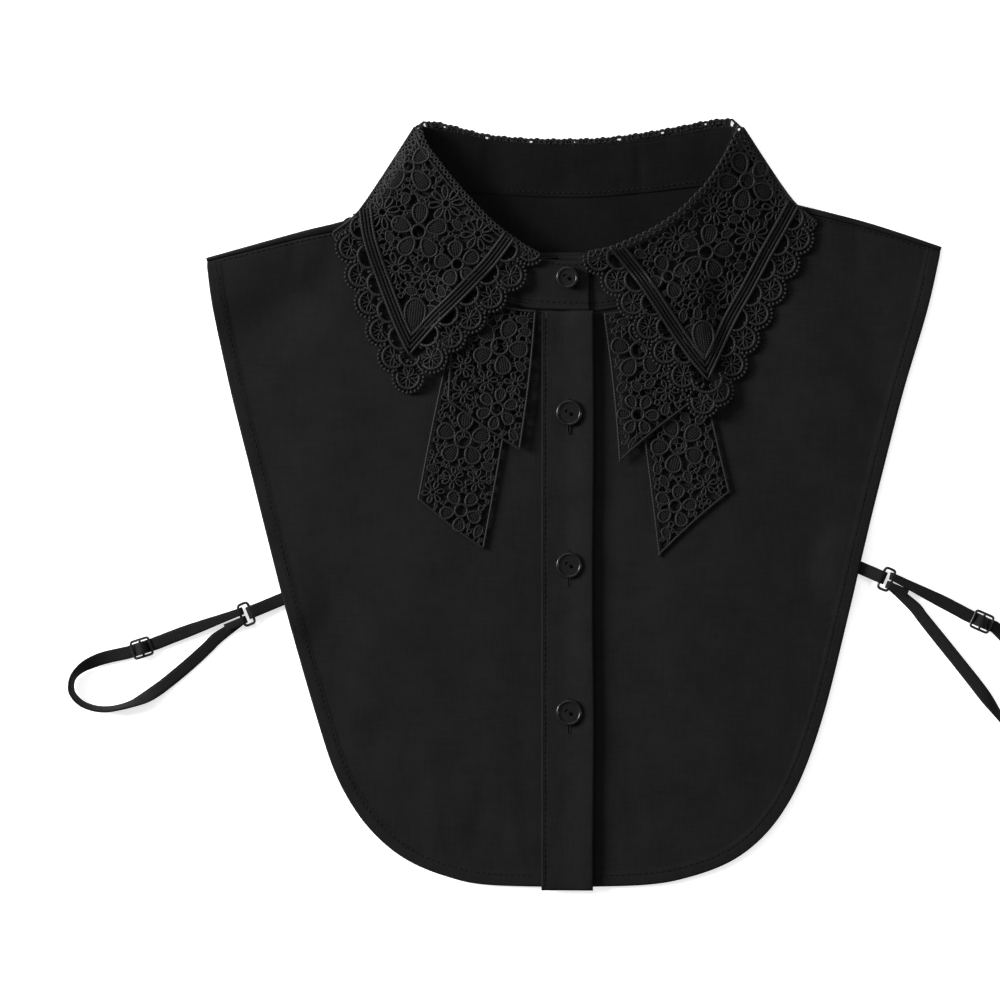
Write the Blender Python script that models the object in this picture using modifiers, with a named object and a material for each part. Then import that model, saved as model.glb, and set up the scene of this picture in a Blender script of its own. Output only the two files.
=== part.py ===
"""A detachable shirt front with a lace collar, lying flat on its back panel.

The wearer's back panel is underneath. The two front panels, the buttoned placket, the lace tails
and the lace leaves of the collar lie on it, one over the other. Lengths are millimetres, and
MM turns them into metres where a mesh is made. +X is the photographed right, +Y points from the
hem to the collar, +Z is up, and the underside is at z = 0.
"""

import math
from collections import namedtuple

import bmesh
import bpy
import numpy as np
from mathutils.geometry import delaunay_2d_cdt

MM = 0.001

# Wall thicknesses and the gap that every pair of pieces keeps
CLOTH = 1.0
LACE = 1.2
STAND = 1.2
PLACKET = 1.4
STRAP = 1.0
GAP = 0.3

# The centre front, where the placket and its buttons are
CENTRE_X = 3.5
PLACKET_LEFT, PLACKET_RIGHT = -9.0, 15.5
PLACKET_BOTTOM, PLACKET_TOP = -181.4, 90.8
HEM_WIDTH, HEM_RAISE, HEM_STEP = 6.5, 0.4, 0.9
LAP_LEFT = 6.0
BACK_INSET, TIP_TAPER = 8.0, 42.0

# The armhole edges from the shoulder tips down to the hem
Edge = namedtuple("Edge", "y left right")
SIDE_EDGES = (
    Edge(91.2, -163.1, 172.4),
    Edge(53.6, -155.1, 161.3),
    Edge(16.0, -145.7, 151.6),
    Edge(-21.6, -136.3, 142.3),
    Edge(-59.2, -126.4, 133.6),
    Edge(-96.8, -115.6, 124.2),
    Edge(-125.0, -106.4, 114.6),
    Edge(-143.8, -96.4, 105.0),
    Edge(-158.0, -84.4, 93.4),
    Edge(-168.4, -70.0, 79.0),
    Edge(-175.4, -52.0, 60.0),
    Edge(-178.9, -34.0, 40.0),
)
HEM_Y = -180.0

# Shoulder folds, from the tip of the shoulder to the side of the neck
Point = namedtuple("Point", "x y")
LEFT_SHOULDER = (
    Point(-166.4, 115.6),
    Point(-139.6, 123.1),
    Point(-120.8, 128.3),
    Point(-102.0, 133.0),
    Point(-87.9, 138.6),
    Point(-79.0, 145.0),
)
RIGHT_SHOULDER = (
    Point(179.1, 120.8),
    Point(161.2, 126.9),
    Point(142.4, 132.8),
    Point(123.6, 137.6),
    Point(104.0, 142.6),
    Point(92.4, 147.8),
)
SEAM_AT_TIP, SEAM_AT_NECK = 2.2, 5.4
FOLD_BULGE, FOLD_RISE = 1.3, 0.4

# Neck seams, from the centre front to the side of the neck, and across the back
LEFT_NECK = (
    Point(-9.0, 92.6),
    Point(-29.1, 96.8),
    Point(-47.9, 105.8),
    Point(-63.0, 119.4),
    Point(-72.4, 133.0),
    Point(-76.6, 146.6),
)
RIGHT_NECK = (
    Point(-2.0, 91.6),
    Point(15.5, 91.4),
    Point(36.7, 95.9),
    Point(57.8, 105.3),
    Point(74.3, 119.4),
    Point(84.6, 133.5),
    Point(89.8, 149.0),
)
BACK_NECK = (
    Point(-76.6, 146.6),
    Point(-57.3, 145.7),
    Point(-39.5, 144.8),
    Point(-19.7, 143.6),
    Point(0.0, 142.9),
    Point(18.0, 143.1),
    Point(41.4, 145.2),
    Point(60.2, 147.4),
    Point(76.6, 148.8),
    Point(89.8, 149.0),
)
NECK_LIFT, NECK_LIFT_REACH, NECK_SEAM = 2.2, 26.0, 0.7

# Where the back of the lace collar lies under the back panel and lifts it
LACE_REST_Y, LACE_REST_RAMP = 107.0, 12.0
LACE_REST_X, LACE_REST_HALF, LACE_REST_SIDE_RAMP = 7.0, 120.0, 12.0

# The stand of the collar: lower and upper edge from the under end, round the back, to the button tab
Band = namedtuple("Band", "bottom_x bottom_y bottom_z top_x top_y top_z")
COLLAR_STAND = (
    Band(-1.0, 92.4, 4.0, -1.0, 116.4, 6.1),
    Band(9.0, 92.2, 4.0, 9.0, 115.6, 6.4),
    Band(22.0, 93.0, 4.2, 20.0, 117.6, 7.4),
    Band(37.0, 96.8, 4.4, 35.6, 123.6, 9.2),
    Band(57.2, 106.2, 5.0, 54.6, 136.2, 11.3),
    Band(73.4, 119.9, 5.6, 67.8, 149.6, 11.6),
    Band(83.2, 133.7, 6.0, 76.0, 163.6, 10.8),
    Band(86.6, 145.0, 5.6, 80.2, 173.0, 9.2),
    Band(87.4, 148.2, 4.2, 81.0, 176.2, 6.6),
    Band(86.2, 149.9, 3.4, 79.6, 176.8, 4.4),
    Band(76.4, 150.0, 3.0, 70.0, 176.2, 3.3),
    Band(60.0, 148.4, 3.0, 56.6, 173.8, 3.0),
    Band(41.3, 146.3, 3.0, 39.6, 171.0, 3.0),
    Band(18.0, 144.2, 3.0, 18.0, 168.8, 3.0),
    Band(0.0, 144.0, 3.0, 0.0, 168.4, 3.0),
    Band(-19.8, 144.7, 3.0, -19.0, 169.4, 3.0),
    Band(-39.5, 145.9, 3.0, -37.6, 171.6, 3.0),
    Band(-57.3, 146.8, 3.0, -53.4, 174.8, 3.3),
    Band(-69.6, 147.9, 3.4, -63.4, 176.8, 4.4),
    Band(-73.2, 146.2, 4.4, -64.4, 176.0, 6.6),
    Band(-72.8, 142.2, 5.6, -63.8, 171.4, 9.2),
    Band(-71.4, 133.2, 6.0, -58.6, 160.9, 10.8),
    Band(-62.2, 120.2, 5.6, -49.6, 149.4, 11.6),
    Band(-47.3, 106.7, 5.0, -37.6, 135.9, 11.3),
    Band(-29.0, 97.8, 4.6, -24.4, 124.2, 9.6),
    Band(-17.0, 94.2, 5.0, -14.4, 118.0, 8.6),
    Band(-8.0, 93.2, 5.6, -7.0, 114.9, 8.2),
    Band(4.0, 92.8, 5.6, 4.0, 113.7, 8.1),
    Band(13.6, 92.6, 5.6, 13.0, 113.9, 8.1),
)

# The two lace leaves: the roll line at the neck, the side fold, and the corded band
LEFT_ROLL = (
    Point(-67.2, 178.9),
    Point(-62.6, 168.0),
    Point(-57.3, 160.7),
    Point(-49.8, 151.3),
    Point(-42.3, 142.9),
    Point(-33.8, 134.0),
    Point(-25.4, 127.0),
    Point(-16.0, 120.6),
    Point(-8.4, 116.6),
)
RIGHT_ROLL = (
    Point(84.0, 178.8),
    Point(80.4, 169.6),
    Point(75.2, 160.3),
    Point(69.1, 150.9),
    Point(63.0, 144.4),
    Point(55.5, 137.0),
    Point(44.2, 129.3),
    Point(33.0, 123.9),
    Point(23.0, 120.0),
    Point(11.0, 117.4),
)
LEFT_FOLD = (Point(-68.0, 178.2), Point(-90.6, 143.8), Point(-98.6, 134.2), Point(-107.0, 128.0))
RIGHT_FOLD = (Point(85.2, 178.0), Point(103.2, 150.9), Point(111.4, 140.4), Point(120.4, 133.0))
LEFT_BAND = (
    Point(-91.6, 138.4),
    Point(-89.4, 124.1),
    Point(-82.9, 104.8),
    Point(-75.9, 86.5),
    Point(-70.5, 74.7),
    Point(-59.9, 86.5),
    Point(-50.2, 95.9),
    Point(-40.9, 105.3),
    Point(-32.4, 114.4),
    Point(-24.0, 125.6),
)
RIGHT_BAND = (
    Point(25.6, 121.5),
    Point(38.8, 105.0),
    Point(51.2, 86.5),
    Point(60.9, 72.4),
    Point(68.4, 63.0),
    Point(79.4, 86.5),
    Point(88.1, 102.0),
    Point(96.5, 118.0),
    Point(103.6, 130.6),
    Point(109.0, 140.6),
)
LEAF_TIP_ROW = 4

# The border beyond the band: its reach on each leg and at the tip, and the first half-moon's place
Border = namedtuple("Border", "front side tip first_front first_side")
BORDERS = {
    -1: Border(20.2, 17.7, 24.4, 0.66, 0.38),
    1: Border(18.5, 17.8, 24.1, 0.95, 1.05),
}
SCALLOP_PITCH, SCALLOP_DEPTH = 13.5, 2.2
BAND_WIDTH, BAND_RAISE, BAND_STEP = 5.4, 0.7, 0.6
SCALLOP_POINTS = 6
LEAF_ARCH_REACH, LEAF_ARCH_POWER = 66.0, 1.6
LEAF_REST_RISE = 0.5

# Open centres of the large lace flowers, over 4 mm across: one row each
Centre = namedtuple("Centre", "x y radius")
LEFT_CENTRES = (
    Centre(-64.9, 122.0, 2.7),
    Centre(-58.6, 150.6, 2.4),
    Centre(-44.6, 121.4, 2.3),
    Centre(-76.6, 100.6, 2.3),
)
RIGHT_CENTRES = (
    Centre(83.4, 146.4, 2.8),
    Centre(64.6, 113.2, 2.7),
    Centre(44.0, 108.8, 2.3),
    Centre(80.4, 93.4, 2.3),
)
MOON_LONG, MOON_WIDE, MOON_BASE, MOON_TIP_BASE = 8.2, 4.2, 3.7, 5.6

# The back of the lace collar: its roll edge above the stand and its scalloped lower edge
BACK_ROLL = (
    Point(-64.6, 180.2),
    Point(-55.0, 178.9),
    Point(-36.0, 174.0),
    Point(-17.0, 172.0),
    Point(1.5, 171.6),
    Point(20.0, 172.2),
    Point(39.0, 174.6),
    Point(58.0, 178.0),
    Point(70.0, 180.4),
    Point(81.0, 181.4),
)
BACK_FALL = (
    Point(-104.6, 126.8),
    Point(-70.0, 123.8),
    Point(-30.0, 122.6),
    Point(7.0, 122.4),
    Point(50.0, 123.8),
    Point(86.0, 127.4),
    Point(116.6, 133.6),
)
BACK_CENTRES = (
    Centre(-62.0, 152.0, 2.7),
    Centre(-28.0, 150.0, 2.7),
    Centre(7.0, 149.0, 2.7),
    Centre(42.0, 150.0, 2.7),
    Centre(76.0, 153.0, 2.7),
)

# Lace tails: the four corners of each, from the neck seam to the slanted end
Tail = namedtuple("Tail", "name side layer outer_top inner_top inner_end outer_end centres")
TAILS = (
    Tail("tail_long_left", -1, 0, (-46.0, 101.8), (-17.4, 91.4), (-35.8, -21.8), (-67.2, 2.4),
         (Centre(-45.6, 30.4, 3.3), Centre(-46.6, -3.0, 2.3))),
    Tail("tail_short_left", -1, 1, (-48.4, 102.8), (-11.2, 91.0), (-18.8, 24.8), (-53.2, 48.8),
         (Centre(-28.4, 74.0, 3.3), Centre(-29.6, 44.6, 2.3))),
    Tail("tail_long_right", 1, 0, (59.2, 101.6), (30.0, 90.8), (46.0, -24.9), (79.8, 5.6),
         (Centre(55.4, 27.4, 3.3), Centre(54.0, -1.0, 2.3))),
    Tail("tail_short_right", 1, 1, (61.2, 103.2), (20.0, 89.6), (27.4, 19.3), (62.0, 47.6),
         (Centre(36.8, 72.0, 3.3), Centre(36.4, 42.0, 2.3))),
)
TAIL_CURL, TAIL_BOW, TAIL_TOP_SAG = 1.3, 0.8, 3.0

# Buttons down the placket, the top one smaller and on the collar stand
Button = namedtuple("Button", "name x y radius seat")
PLACKET_BUTTON_RADIUS, NECK_BUTTON_RADIUS = 6.1, 5.2
BUTTON_THICK, BUTTON_RIM, BUTTON_DISH = 2.2, 1.1, 0.6
BUTTON_HOLE_RADIUS, BUTTON_HOLE_APART, BUTTON_TURN = 0.8, 1.35, math.radians(-35)
BUTTONS = (
    Button("button_neck", 3.1, 106.2, NECK_BUTTON_RADIUS, 9.4),
    Button("button_upper", 4.0, 42.8, PLACKET_BUTTON_RADIUS, 4.9),
    Button("button_middle", 4.0, -28.7, PLACKET_BUTTON_RADIUS, 4.9),
    Button("button_lower", 4.0, -97.8, PLACKET_BUTTON_RADIUS, 4.9),
)

# Elastic arm loops: ring, slider and the route of each strap
STRAP_WIDTH = 6.0
RING_LONG, RING_WIDE, RING_WIRE, RING_Z, RING_SQUARE = 10.4, 5.3, 0.65, 2.25, 0.4
SLIDER_LONG, SLIDER_WIDE, SLIDER_THICK, SLIDER_BAR, SLIDER_SIDE = 10.0, 9.4, 1.2, 1.3, 1.1
HAIRPIN_RADIUS = 1.6
STRAP_LIFT, STRAP_CLEAR = 0.4, 0.22
ADJUSTER_WIDTH, RETURN_WIDTH, RING_SHARE = 3.6, 3.6, 2.15
SLIDER_Z, SLIDER_OVER = 2.8, 5.1
Strap = namedtuple("Strap", "side ring_x ring_y ring_turn slider_x slider_y tab_length tab_tuck")
STRAPS = (
    Strap("left", -147.6, -51.7, 22.6, -196.7, -67.6, 14.2, 6.0),
    Strap("right", 153.2, -35.3, 156.6, 197.9, -55.2, 11.2, 6.0),
)
Route = namedtuple("Route", "x y turn width")
LEFT_ROUTE = (
    Route(-160.6, -62.4, 0, 5.6),
    Route(-173.0, -74.0, 0, 6.0),
    Route(-186.5, -85.2, 8, 6.0),
    Route(-195.6, -91.2, 40, 6.0),
    Route(-204.6, -94.8, 80, 6.0),
    Route(-214.6, -96.4, 97, 6.0),
    Route(-223.4, -94.4, 100, 6.0),
    Route(-228.6, -89.8, 96, 6.0),
    Route(-229.9, -84.6, 86, 6.0),
    Route(-227.2, -79.0, 66, 6.0),
    Route(-221.0, -74.8, 38, 6.0),
    Route(-213.4, -72.0, 14, 6.0),
)
RIGHT_ROUTE = (
    Route(165.8, -47.8, 0, 5.6),
    Route(178.6, -63.8, 0, 6.0),
    Route(187.6, -75.0, 0, 6.0),
    Route(196.4, -86.2, 16, 6.0),
    Route(203.0, -95.2, 54, 6.0),
    Route(209.6, -103.6, 84, 6.0),
    Route(217.2, -108.8, 96, 6.0),
    Route(225.0, -107.6, 100, 6.0),
    Route(229.2, -101.2, 96, 6.0),
    Route(229.3, -92.0, 84, 6.0),
    Route(226.4, -82.2, 60, 6.0),
    Route(219.6, -73.2, 30, 6.0),
    Route(212.4, -66.2, 10, 6.0),
)
ROUTES = {"left": LEFT_ROUTE, "right": RIGHT_ROUTE}

# Colours and finishes
Finish = namedtuple("Finish", "colour roughness metallic")
FINISHES = {
    "black_cotton": Finish((0.012, 0.012, 0.013), 0.85, 0.0),
    "black_lace": Finish((0.018, 0.018, 0.019), 0.7, 0.0),
    "black_button": Finish((0.01, 0.01, 0.01), 0.25, 0.0),
    "black_elastic": Finish((0.015, 0.015, 0.016), 0.65, 0.0),
    "black_fitting": Finish((0.02, 0.02, 0.02), 0.3, 0.0),
}


def clear_scene():
    for old in list(bpy.data.objects):
        bpy.data.objects.remove(old)


def new_collection(name):
    collection = bpy.data.collections.new(name)
    bpy.context.scene.collection.children.link(collection)
    return collection


def material(name):
    finish = FINISHES[name]
    made = bpy.data.materials.get(name) or bpy.data.materials.new(name)
    made.use_nodes = True
    shader = made.node_tree.nodes["Principled BSDF"]
    shader.inputs["Base Color"].default_value = (*finish.colour, 1.0)
    shader.inputs["Roughness"].default_value = finish.roughness
    shader.inputs["Metallic"].default_value = finish.metallic
    return made


def ease(t):
    """0 up to t = 0, 1 from t = 1, and a smooth step between."""
    t = np.clip(t, 0.0, 1.0)
    return t * t * (3.0 - 2.0 * t)


def spline(rows, step, columns=None):
    """A smooth line through the rows of a table, as points about one step apart."""
    rows = np.array([tuple(row) for row in rows], float)
    ends = (2 * rows[:1] - rows[1:2], 2 * rows[-1:] - rows[-2:-1])
    knots = np.concatenate([ends[0], rows, ends[1]])
    t = np.linspace(0, 1, 12, endpoint=False)[:, None]
    pieces = []
    for a, b, c, d in zip(knots, knots[1:], knots[2:], knots[3:]):
        pieces.append(0.5 * (2 * b + (c - a) * t + (2 * a - 5 * b + 4 * c - d) * t**2
                             + (3 * b - a - 3 * c + d) * t**3))
    line = np.concatenate([*pieces, rows[-1:]])
    return evenly(line, step, columns or line.shape[1])


def evenly(line, step, measured=2):
    """The same line with points spaced evenly along its first measured columns."""
    long = np.linalg.norm(np.diff(line[:, :measured], axis=0), axis=1)
    along = np.concatenate([[0], np.cumsum(long)])
    at = np.linspace(0, along[-1], max(2, round(along[-1] / step) + 1))
    return np.stack([np.interp(at, along, line[:, k]) for k in range(line.shape[1])], axis=1)


def normals_of(line):
    """Unit normals to the right of a plane line, as it runs."""
    way = np.gradient(line[:, :2], axis=0)
    way /= np.linalg.norm(way, axis=1)[:, None]
    return np.stack([way[:, 1], -way[:, 0]], axis=1)


def nearest(points, line):
    """Distance from each point to a line, the share of the line where that is, and the foot."""
    a, b = line[:-1, :2], line[1:, :2]
    way = b - a
    long = np.linalg.norm(way, axis=1)
    start = np.concatenate([[0], np.cumsum(long)])[:-1]
    t = ((points[:, None] - a) * way).sum(2) / (long**2)
    t = np.clip(t, 0, 1)
    foot = a + t[..., None] * way
    away = np.linalg.norm(points[:, None] - foot, axis=2)
    best = away.argmin(1)
    row = np.arange(len(points))
    share = (start[best] + t[row, best] * long[best]) / long.sum()
    return away[row, best], share, foot[row, best]


def inside(points, loop):
    """Which points lie inside a closed loop."""
    x, y = points[:, 0][:, None], points[:, 1][:, None]
    ax, ay = loop[:, 0], loop[:, 1]
    bx, by = np.roll(ax, -1), np.roll(ay, -1)
    crosses = (ay > y) != (by > y)
    with np.errstate(divide="ignore", invalid="ignore"):
        at = (bx - ax) * (y - ay) / (by - ay) + ax
    return (np.count_nonzero(crosses & (x < at), axis=1) % 2).astype(bool)


def region(outline, holes=(), lines=(), spacing=12.0):
    """Triangles that fill an outline round its holes, with extra lines kept as edges."""
    loops = [np.asarray(outline)[:, :2], *[np.asarray(h)[:, :2] for h in holes]]
    points, edges = [], []
    for loop in loops:
        start = sum(map(len, points))
        points.append(loop)
        edges += [(start + i, start + (i + 1) % len(loop)) for i in range(len(loop))]
    for line in lines:
        line = np.asarray(line)[:, :2]
        away, _, _ = nearest(line, np.concatenate([loops[0], loops[0][:1]]))
        kept = inside(line, loops[0]) & (away > 0.6)
        for hole in loops[1:]:
            kept &= ~inside(line, hole)
            kept &= nearest(line, np.concatenate([hole, hole[:1]]))[0] > 0.6
        start = sum(map(len, points))
        place = np.cumsum(kept) - 1
        points.append(line[kept])
        edges += [(start + place[i], start + place[i + 1])
                  for i in range(len(line) - 1) if kept[i] and kept[i + 1]]
    low, high = loops[0].min(0), loops[0].max(0)
    rows = np.arange(low[1] + spacing / 2, high[1], spacing * 0.87)
    grid = np.array([(x + (spacing / 2) * (j % 2), y) for j, y in enumerate(rows)
                     for x in np.arange(low[0], high[0], spacing)]).reshape(-1, 2)
    kept = inside(grid, loops[0])
    for made in points:
        if len(made):
            gap = np.linalg.norm(grid[:, None] - made[None], axis=2).min(1)
            kept &= gap > spacing * 0.45
    for hole in loops[1:]:
        kept &= ~inside(grid, hole)
    points.append(grid[kept])
    flat = np.concatenate(points)
    out = delaunay_2d_cdt([tuple(p) for p in flat], [tuple(map(int, e)) for e in edges], [], 0, 1e-5)
    made, faces = np.array([tuple(p) for p in out[0]]), np.array(out[2])
    middle = made[faces].mean(1)
    kept = inside(middle, loops[0])
    for hole in loops[1:]:
        kept &= ~inside(middle, hole)
    return made, faces[kept]


def grid_faces(rows, columns):
    """The four-sided faces of a grid of points, row after row."""
    at = np.arange(rows * columns).reshape(rows, columns)
    quads = np.stack([at[:-1, :-1], at[:-1, 1:], at[1:, 1:], at[1:, :-1]], axis=2)
    return quads.reshape(-1, 4).tolist()


def add_object(name, mesh, finish, collection):
    made = bpy.data.objects.new(name, mesh)
    mesh.materials.append(material(finish))
    collection.objects.link(made)
    return made


def mesh_of(name, points, faces):
    """A mesh in metres from points in millimetres, its faces turned upwards."""
    mesh = bpy.data.meshes.new(name)
    mesh.from_pydata((np.asarray(points) * MM).tolist(), [], [list(map(int, f)) for f in faces])
    bm = bmesh.new()
    bm.from_mesh(mesh)
    bmesh.ops.remove_doubles(bm, verts=bm.verts, dist=0.00001)
    loose = [v for v in bm.verts if not v.link_faces]
    bmesh.ops.delete(bm, geom=loose, context="VERTS")
    bmesh.ops.recalc_face_normals(bm, faces=bm.faces)
    bm.to_mesh(mesh)
    bm.free()
    mesh.shade_smooth()
    return mesh


def face_up(mesh, near=None):
    """Turns an open sheet so that most of it, or the face nearest to a place, looks upwards."""
    faces = mesh.polygons
    if near is not None:
        place = np.array(near) * MM
        faces = [min(faces, key=lambda f: np.linalg.norm(np.array(f.center) - place))]
    if sum(face.area * face.normal.z for face in faces) < 0:
        mesh.flip_normals()


def cloth_wall(name, points, faces, thick, finish, collection, shares=None, near=None):
    """A wall that stands on a surface. shares gives the part of the thickness at each place."""
    mesh = mesh_of(name, points, faces)
    face_up(mesh, near)
    made = add_object(name, mesh, finish, collection)
    solid = made.modifiers.new("wall", "SOLIDIFY")
    solid.thickness = thick * MM
    solid.offset = 1.0
    if shares is not None:
        group = made.vertex_groups.new(name="thickness")
        place = np.array([v.co for v in mesh.vertices]) / MM
        for i, share in enumerate(shares(place)):
            group.add([i], float(share), "REPLACE")
        solid.vertex_group = "thickness"
    return made


# Heights of the layers at rest, as functions of the place on the table


def back_under(x, y):
    """The back panel lies flat, and rises in straight ramps over the lace under its neck."""
    lift = (y - LACE_REST_Y) / LACE_REST_RAMP
    side = (LACE_REST_HALF + LACE_REST_SIDE_RAMP - np.abs(x - LACE_REST_X)) / LACE_REST_SIDE_RAMP
    return (LACE + GAP) * np.clip(np.minimum(lift, side), 0, 1)


def ramp_lines():
    """The lines where those ramps begin and end, as edges that every panel shares."""
    inner, outer = LACE_REST_HALF, LACE_REST_HALF + LACE_REST_SIDE_RAMP
    low, high = LACE_REST_Y, LACE_REST_Y + LACE_REST_RAMP
    lines = []
    for reach, y in ((outer, low), (inner, high)):
        row = np.array([[LACE_REST_X - reach, y], [LACE_REST_X + reach, y]])
        lines.append(evenly(row, 12.0))
        for way in (-1, 1):
            column = np.array([[LACE_REST_X + way * reach, y + 3.0], [LACE_REST_X + way * reach, 160.0]])
            lines.append(evenly(column, 12.0))
    return lines


def front_wave(x, y):
    """Soft waves of the front panels: one low swell on each half, and a dip beside the placket."""
    side = np.abs(x - CENTRE_X)
    swell = 1.5 * np.exp(-(((side - 74) / 34) ** 2) - ((y + 30) / 90) ** 2)
    tilt = 0.9 * np.exp(-(((side - 112) / 22) ** 2) - ((y - 62) / 40) ** 2)
    return swell + tilt


def tab_lift(x, y):
    """The hem rises a little where the end of an elastic tab lies under it."""
    lift = 0.0
    for strap in STRAPS:
        ahead = np.radians(strap.ring_turn)
        reach = strap.tab_length + strap.tab_tuck / 2
        at_x = strap.ring_x + math.cos(ahead) * reach
        at_y = strap.ring_y + math.sin(ahead) * reach
        away = np.hypot(x - at_x, y - at_y)
        lift = lift + 2.0 * ease((26 - away) / 16)
    return lift


def front_under(x, y):
    shape = np.shape(x)
    points = np.stack([np.ravel(x), np.ravel(y)], axis=1)
    to_neck = np.minimum(nearest(points, NECK_LINES[0])[0], nearest(points, NECK_LINES[1])[0])
    lift = NECK_LIFT * ease(1 - to_neck / NECK_LIFT_REACH)
    return (back_under(x, y) + CLOTH + GAP + front_wave(x, y) + tab_lift(x, y)
            + lift.reshape(shape))


def front_top(x, y):
    return front_under(x, y) + CLOTH


def placket_under(x, y):
    return front_top(x, y) + GAP + HEM_RAISE


def tail_under(x, y, layer, side):
    """A tail lies on the front, its inner edge curls up a little, and the short one lies on the long one."""
    inner = -10.0 if side < 0 else 22.0
    curl = TAIL_CURL * ease(1 - np.abs(x - inner) / 34.0) * ease((96 - y) / 40)
    return front_top(x, y) + GAP + 0.2 + 0.5 * curl + layer * (LACE + GAP)


def leaf_rest(x, y, side):
    """What a leaf lies on: the front panel, and past the tails' outer edge the two tails."""
    if side < 0:
        into = (x + 71.0 + 0.2 * (60 - y)) / 13.0
    else:
        into = (83.5 + 0.2 * (60 - y) - x) / 13.0
    into = ease(into) * ease((110 - y) / 6)
    return front_top(x, y) + GAP + LEAF_REST_RISE + into * 2 * (LACE + GAP)


def leaf_under(x, y, side):
    """A leaf arches from the roll line down to what it lies on."""
    roll = ROLL_LINES[side]
    away, share, _ = nearest(np.stack([x, y], axis=1), roll)
    crest = np.interp(share, ROLL_SHARES, ROLL_HEIGHTS)
    rest = leaf_rest(x, y, side)
    drop = np.clip(1 - away / LEAF_ARCH_REACH, 0, 1) ** LEAF_ARCH_POWER
    return rest + np.maximum(crest - rest, 0) * drop


# Height of the roll line's underside from the side fold (share 0) to the centre front (share 1)
ROLL_SHARES = (0.0, 0.1, 0.25, 0.45, 0.65, 0.85, 1.0)
ROLL_HEIGHTS = (9.6, 12.0, 13.4, 13.8, 13.4, 12.2, 11.4)

SHOULDER_LINES = {-1: spline(LEFT_SHOULDER, 10.0), 1: spline(RIGHT_SHOULDER, 10.0)}
NECK_LINES = (spline(LEFT_NECK, 4.0), spline(RIGHT_NECK[1:], 4.0))
ROLL_LINES = {-1: spline(LEFT_ROLL, 3.0), 1: spline(RIGHT_ROLL, 3.0)}
FOLD_LINES = {-1: spline(LEFT_FOLD, 3.0), 1: spline(RIGHT_FOLD, 3.0)}


def tip_of(side):
    return (LEFT_SHOULDER if side < 0 else RIGHT_SHOULDER)[0]


def outer_edge(side, step, inset=0.0):
    """The armhole edge and the hem of one half, from the shoulder tip to the centre front."""
    tip = tip_of(side)
    rows = [(tip.x, tip.y)]
    rows += [(e.left if side < 0 else e.right, e.y) for e in SIDE_EDGES]
    rows += [(CENTRE_X, HEM_Y)]
    line = spline(rows, step)
    outward = normals_of(line) * -side
    return line - outward * (inset * ease((tip.y - line[:, 1]) / TIP_TAPER))[:, None]


def shoulder_line(side, inset_tip, inset_neck):
    """The shoulder fold of one half from tip to neck, moved in towards the hem."""
    line = SHOULDER_LINES[side]
    inset = inset_tip + (inset_neck - inset_tip) * np.linspace(0, 1, len(line))
    return line - normals_of(line) * (side * inset)[:, None]


def front_panel(side, collection):
    """One front panel: armhole edge, hem, centre edge under the placket, neck and shoulder seams."""
    edge = outer_edge(side, 11.0)
    under = PLACKET_LEFT + LAP_LEFT if side < 0 else PLACKET_LEFT + LAP_LEFT + GAP
    edge = edge[(edge[:, 0] - under) * side > 3.0]
    seam = shoulder_line(side, SEAM_AT_TIP + GAP, SEAM_AT_NECK + GAP)
    edge = edge[edge[:, 1] < seam[0, 1] - 2.0]
    neck = spline(LEFT_NECK if side < 0 else RIGHT_NECK, 8.0)
    neck = neck + normals_of(neck) * (side * NECK_SEAM)
    neck = neck[(neck[:, 1] < seam[-1, 1] - 2.0) & ((neck[:, 0] - under) * side > 2.0)]
    centre = evenly(np.array([[under, HEM_Y], [under, neck[0, 1]]]), 14.0)
    outline = np.concatenate([seam[::-1], edge, centre, neck])
    fine = outer_edge(side, 8.0)
    outward = normals_of(fine) * -side
    lines = [fine - outward * HEM_WIDTH, fine - outward * (HEM_WIDTH + HEM_STEP), *ramp_lines()]
    flat, faces = region(outline, lines=lines, spacing=15.0)
    points = np.column_stack([flat, front_under(flat[:, 0], flat[:, 1])])

    def shares(place):
        away = nearest(place[:, :2], fine)[0]
        return np.where(away < HEM_WIDTH + HEM_STEP / 2, 1.0, CLOTH / (CLOTH + HEM_RAISE))

    name = "front_left" if side < 0 else "front_right"
    return cloth_wall(name, points, faces, CLOTH + HEM_RAISE, "black_cotton", collection, shares)


def shoulder_turn(side):
    """The rows in which the back panel turns over the shoulder, from the fold to the seam."""
    fold = shoulder_line(side, FOLD_BULGE, FOLD_BULGE)
    seam = shoulder_line(side, SEAM_AT_TIP, SEAM_AT_NECK)
    outward = normals_of(fold) * side
    base = back_under(fold[:, 0], fold[:, 1])
    height = front_top(fold[:, 0], fold[:, 1]) + FOLD_RISE - base
    rows = []
    for turn in np.radians((0, 35, 70, 110, 145, 180)):
        rows.append(np.column_stack([
            fold + outward * FOLD_BULGE * math.sin(turn), base + height * (1 - math.cos(turn)) / 2,
        ]))
    rows.append(np.column_stack([seam, front_top(seam[:, 0], seam[:, 1])]))
    return np.array(rows)


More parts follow.
